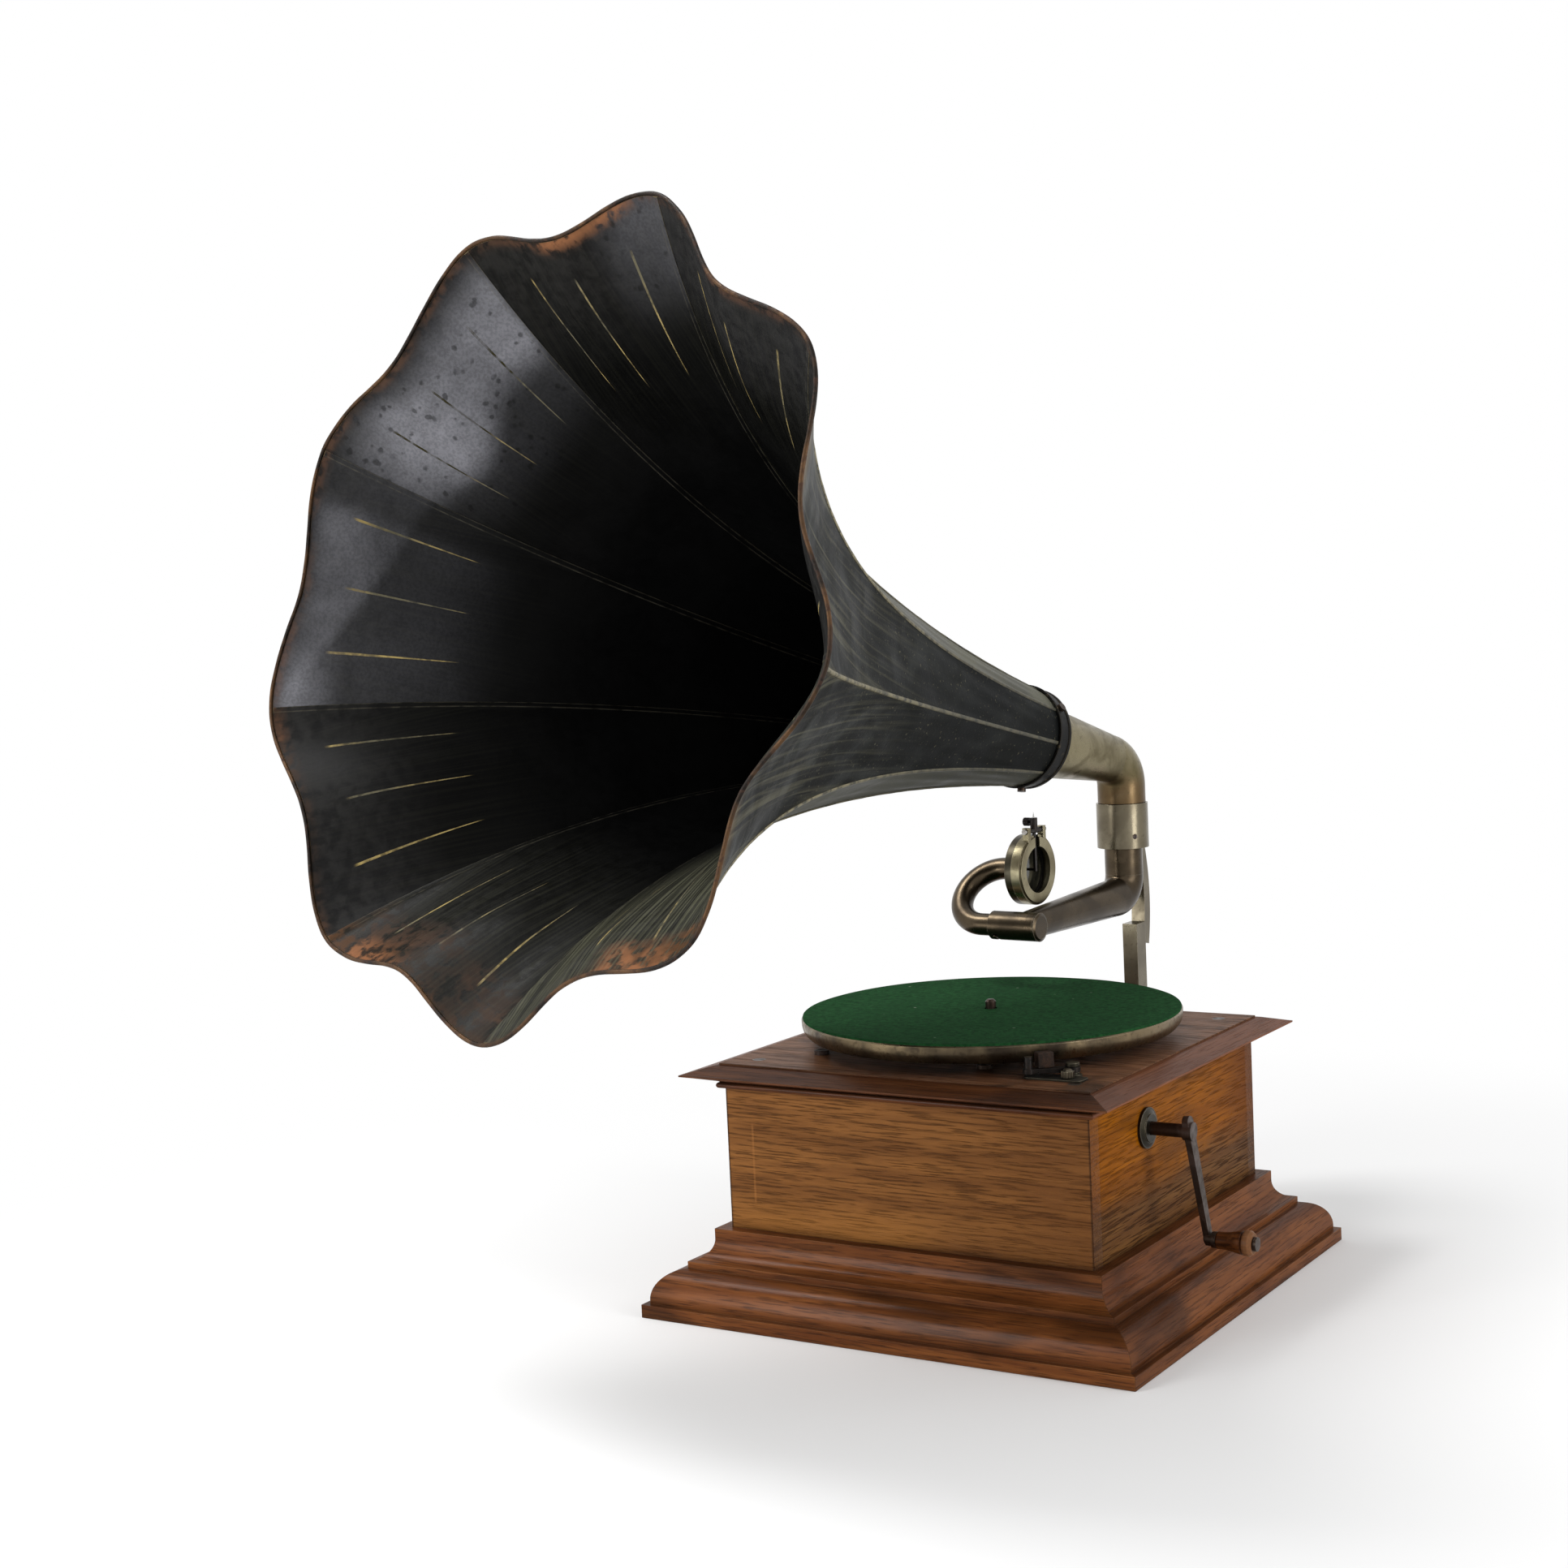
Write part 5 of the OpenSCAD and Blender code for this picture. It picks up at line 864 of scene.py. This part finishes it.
outside_lacquer = Finish("outside_lacquer", specular_ior_level=0.04)
streaks = lengthwise(outside_lacquer, 260, 3, 4, 0.6)
scuffs = outside_lacquer.mottle(outside_lacquer.stretch(60, 16, 30), 1, 5, 0.5)
cloud = outside_lacquer.mottle(outside_lacquer.place, 26, 5, 0.6)
pits = outside_lacquer.mottle(outside_lacquer.place, 480, 4)
along = attribute(outside_lacquer, "along")
pale = attribute(outside_lacquer, "pale")
base = outside_lacquer.lay(outside_lacquer.ease(cloud, 0.3, 0.7), shade(12, 14, 15), shade(21, 22, 21))
base = outside_lacquer.lay(outside_lacquer.times(pale, outside_lacquer.ease(cloud, 0.3, 0.66, 0.5, 1.0)),
                           base, shade(104, 103, 90))
towards_rim = outside_lacquer.ease(along, 0.3, 0.85)
scored = outside_lacquer.times(outside_lacquer.ease(streaks, 0.46, 0.7, 0, 0.45), towards_rim)
base = outside_lacquer.lay(scored, base, shade(104, 101, 82))
rubbed = outside_lacquer.times(outside_lacquer.ease(scuffs, 0.44, 0.74, 0, 0.2),
                               outside_lacquer.ease(along, 0.3, 0.85, 0.25, 1.0))
base = outside_lacquer.lay(rubbed, base, shade(112, 115, 112))
base = outside_lacquer.lay(outside_lacquer.ease(pits, 0.64, 0.72, 0, 0.4), base, shade(124, 118, 96))
near_rim = outside_lacquer.times(outside_lacquer.ease(along, 0.92, 0.995, 0, 0.7),
                                 outside_lacquer.ease(cloud, 0.36, 0.6, 0.35, 1.0))
base = outside_lacquer.lay(near_rim, base, shade(128, 108, 80))
seam_off = outside_lacquer.minus(1.0, outside_lacquer.unsigned(attribute(outside_lacquer, "across")))
seam_wear = outside_lacquer.times(outside_lacquer.ease(seam_off, 0.06, 0.0),
                                  outside_lacquer.ease(cloud, 0.4, 0.6, 0.1, 0.5))
outside_lacquer.colour(outside_lacquer.lay(seam_wear, base, shade(116, 108, 80)))
outside_lacquer.roughness(outside_lacquer.ease(cloud, 0.3, 0.7, 0.38, 0.56))
outside_lacquer.relief(outside_lacquer.plus(pits, streaks), 0.12 * MM)

worn_seam = Finish("worn_seam", specular_ior_level=0.2)
chips = worn_seam.mottle(worn_seam.place, 150, 5, 0.5)
towards_rim = worn_seam.ease(attribute(worn_seam, "along"), 0.2, 0.7, 0.25, 1.0)
bare = worn_seam.times(worn_seam.ease(chips, 0.3, 0.62), towards_rim)
worn_seam.colour(worn_seam.lay(bare, shade(54, 53, 46), shade(132, 124, 98)))
worn_seam.metal(worn_seam.ease(bare, 0, 1, 0.0, 0.4))
worn_seam.roughness(0.48)
worn_seam.relief(chips, 0.15 * MM)

for panel in range(PANELS):
    name = f"horn_panel_{panel + 1}"
    piece = finished_object(name, panel_mesh(name, panel), outside_lacquer, inside_lacquer, worn_seam)
    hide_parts(f"horn_petal_{panel + 1}")
    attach(piece, "horn")

# Rim bead: the edge of the sheet is rolled round an iron wire all the way round the mouth. Its
# lacquer is mostly gone, and it has rusted to brown and copper.
bead_r = 1.25 * MM
bead_steps, bead_sides = 48, 12


def bead_mesh(name):
    """A closed bead along the edges of all the panels."""
    across = np.linspace(-1, 1, bead_steps, endpoint=False)
    edge, behind = [], []
    for panel in range(PANELS):
        edge.append(panel_points(panel, np.ones(bead_steps), across, sheet_t / 2))
        behind.append(panel_points(panel, np.full(bead_steps, 0.985), across, sheet_t / 2))
    edge, behind = np.concatenate(edge), np.concatenate(behind)
    forward = edge - behind
    forward /= np.linalg.norm(forward, axis=1)[:, None]
    path = edge + forward * (bead_r - 0.1 * MM)
    tangent = np.roll(path, -1, 0) - np.roll(path, 1, 0)
    tangent /= np.linalg.norm(tangent, axis=1)[:, None]
    out = np.cross(tangent, forward)
    out /= np.linalg.norm(out, axis=1)[:, None]
    count = len(path)
    swell = 1 + 0.06 * np.sin(np.arange(count) * 0.9) * np.sin(np.arange(count) * 0.23)
    rings = []
    for n in range(bead_sides):
        turn = 2 * math.pi * n / bead_sides
        rings.append(path + (bead_r * swell)[:, None] * (math.cos(turn) * forward + math.sin(turn) * out))
    points = np.stack(rings, 1).reshape(-1, 3)
    faces = []
    for i in range(count):
        m = (i + 1) % count
        for j in range(bead_sides):
            k = (j + 1) % bead_sides
            faces.append((i * bead_sides + j, i * bead_sides + k, m * bead_sides + k, m * bead_sides + j))
    mesh = bpy.data.meshes.new(name)
    mesh.from_pydata(points.tolist(), [], faces)
    return mesh


rim_rust = Finish("rim_rust", specular_ior_level=0.2)
flecks = rim_rust.mottle(rim_rust.place, 240, 5, 0.6)
patches = rim_rust.mottle(rim_rust.place, 28, 4, 0.4)
base = rim_rust.lay(rim_rust.ease(patches, 0.42, 0.6), shade(30, 24, 19), shade(84, 60, 38))
base = rim_rust.lay(rim_rust.ease(flecks, 0.5, 0.66, 0, 0.8), base, shade(58, 38, 28))
rim_rust.colour(base)
rim_rust.metal(rim_rust.ease(flecks, 0.6, 0.4, 0.1, 0.5))
rim_rust.roughness(rim_rust.ease(flecks, 0.3, 0.7, 0.4, 0.7))
rim_rust.relief(flecks, 0.25 * MM)
bead = finished_object("rim_bead", bead_mesh("rim_bead"), rim_rust)
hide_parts("horn_rim_wire")
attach(bead, "horn")

# Elbow and ferrule: a bent and tapered brass tube, dull and brown near the collar, and the black
# japanned ferrule that clamps the panels' ends on it.
elbow_brass = Finish("elbow_brass")
_, _, up = elbow_brass.axes()
fine = elbow_brass.mottle(elbow_brass.place, 340, 5)
broad = elbow_brass.mottle(elbow_brass.place, 48, 5, 0.7)
base = elbow_brass.lay(elbow_brass.ease(broad, 0.35, 0.68), shade(126, 117, 90), shade(94, 85, 59))
brown_from, brown_full = 335 * MM, 312 * MM
brown_edge = elbow_brass.plus(up, elbow_brass.ease(broad, 0.3, 0.7, -8 * MM, 8 * MM))
browning = elbow_brass.ease(brown_edge, brown_from, brown_full)
base = elbow_brass.lay(elbow_brass.times(browning, 0.75), base, shade(88, 66, 42))
base = elbow_brass.lay(elbow_brass.ease(fine, 0.58, 0.7, 0, 0.6), base, shade(74, 64, 42))
# Painted shade darkens the elbow's corners
elbow_brass.colour(elbow_brass.lay(elbow_brass.corners(4 * MM), base, corner_shade_colour))
elbow_brass.metal(0.9)
elbow_brass.roughness(elbow_brass.ease(broad, 0.3, 0.7, 0.24, 0.42))
elbow_brass.relief(fine, 0.07 * MM)
dress(elbow_brass, "elbow")

japan = Finish("black_japan", specular_ior_level=0.06, coat_weight=0.06, coat_roughness=0.2)
chips = japan.mottle(japan.place, 160, 5, 0.6)
base = japan.lay(japan.ease(chips, 0.6, 0.72), shade(20, 20, 20), shade(70, 62, 48))
japan.colour(japan.lay(japan.times(japan.edges(0.6 * MM), 0.4), base, shade(90, 80, 60)))
japan.roughness(japan.ease(chips, 0.3, 0.7, 0.35, 0.55))
japan.relief(chips, 0.1 * MM, 0.3 * MM)
dress(japan, "horn_ferrule")

# Studio: a pale floor, white beyond the object's shadow, with tall soft lamps to the left and to
# the right and a square one above. The camera stands where the photograph was taken.
floor_r = 6.0
shadow_from, shadow_to = 0.3, 0.85
world_level = 0.52


def seen_ray(tree):
    """1 on a ray that is seen, straight or by way of gloss or glass, and 0 on one that only lights."""
    ray = tree.nodes.new("ShaderNodeLightPath").outputs
    seen = ray["Is Camera Ray"]
    for way in ("Is Glossy Ray", "Is Transmission Ray"):
        larger = tree.nodes.new("ShaderNodeMath")
        larger.operation = "MAXIMUM"
        tree.links.new(seen, larger.inputs[0])
        tree.links.new(ray[way], larger.inputs[1])
        seen = larger.outputs[0]
    return seen


build = bmesh.new()
bmesh.ops.create_circle(build, cap_ends=True, radius=floor_r, segments=96)
floor_mesh = bpy.data.meshes.new("floor")
build.to_mesh(floor_mesh)
build.free()
floor = bpy.data.objects.new("floor", floor_mesh)
bpy.context.scene.collection.objects.link(floor)
floor.location.z = -0.2 * MM
pale = Finish("pale_floor", roughness=0.9)
pale.colour(shade(246, 246, 246))
white = pale.step("Emission", (1, 1, 1, 1), 1.0).outputs[0]
reach = pale.step("VectorMath", pale.place, operation="LENGTH").outputs["Value"]
far = pale.ease(reach, shadow_from, shadow_to)
cover = pale.step("MixShader", pale.times(far, seen_ray(pale.tree)), pale.shader.outputs[0], white)
pale.feed(pale.tree.nodes["Material Output"].inputs["Surface"], cover.outputs[0])
floor.data.materials.append(pale.material)

world = bpy.data.worlds.new("studio")
bpy.context.scene.world = world
world.use_nodes = True
tree = world.node_tree
ground = tree.nodes["Background"]
ground.inputs["Color"].default_value = (1, 1, 1, 1)
level = tree.nodes.new("ShaderNodeMapRange")
level.inputs["To Min"].default_value = world_level
level.inputs["To Max"].default_value = 1.0
tree.links.new(seen_ray(tree), level.inputs["Value"])
tree.links.new(level.outputs[0], ground.inputs["Strength"])

aim = Vector((0, -0.02, 0.3))


def lamp(name, place, width, height, power):
    """A soft lamp of a width and height that faces the middle of the object."""
    light = bpy.data.lights.new(name, "AREA")
    light.shape = "RECTANGLE"
    light.size = width
    light.size_y = height
    light.energy = power
    piece = bpy.data.objects.new(name, light)
    bpy.context.scene.collection.objects.link(piece)
    piece.location = place
    piece.rotation_euler = (aim - Vector(place)).to_track_quat("-Z", "Y").to_euler()
    piece.visible_camera = False


lamp("left_lamp", (-0.75, -1.4, 0.62), 0.36, 1.2, 12)
lamp("top_lamp", (-1.1, -0.4, 2.2), 0.8, 0.8, 28)
lamp("right_lamp", (1.5, -0.12, 0.62), 0.6, 1.2, 13)

view_turn = math.radians(32.478)
view_pitch = math.radians(4.621)
view_roll = math.radians(-2.643)
view_from = Vector((748.13, -1422.59, 470.67)) * MM
back = Vector((math.sin(view_turn) * math.cos(view_pitch), -math.cos(view_turn) * math.cos(view_pitch),
               math.sin(view_pitch)))
level_right = (-back).cross(Vector((0, 0, 1))).normalized()
level_up = level_right.cross(-back)
right = level_right * math.cos(view_roll) + level_up * math.sin(view_roll)
above = -level_right * math.sin(view_roll) + level_up * math.cos(view_roll)
lens = bpy.data.cameras.new("camera")
lens.sensor_width = 36
lens.lens = 55.47
camera = bpy.data.objects.new("camera", lens)
bpy.context.scene.collection.objects.link(camera)
camera.matrix_world = Matrix((right, above, back)).transposed().to_4x4()
camera.location = view_from
bpy.context.scene.camera = camera
bpy.context.scene.view_settings.view_transform = "Standard"
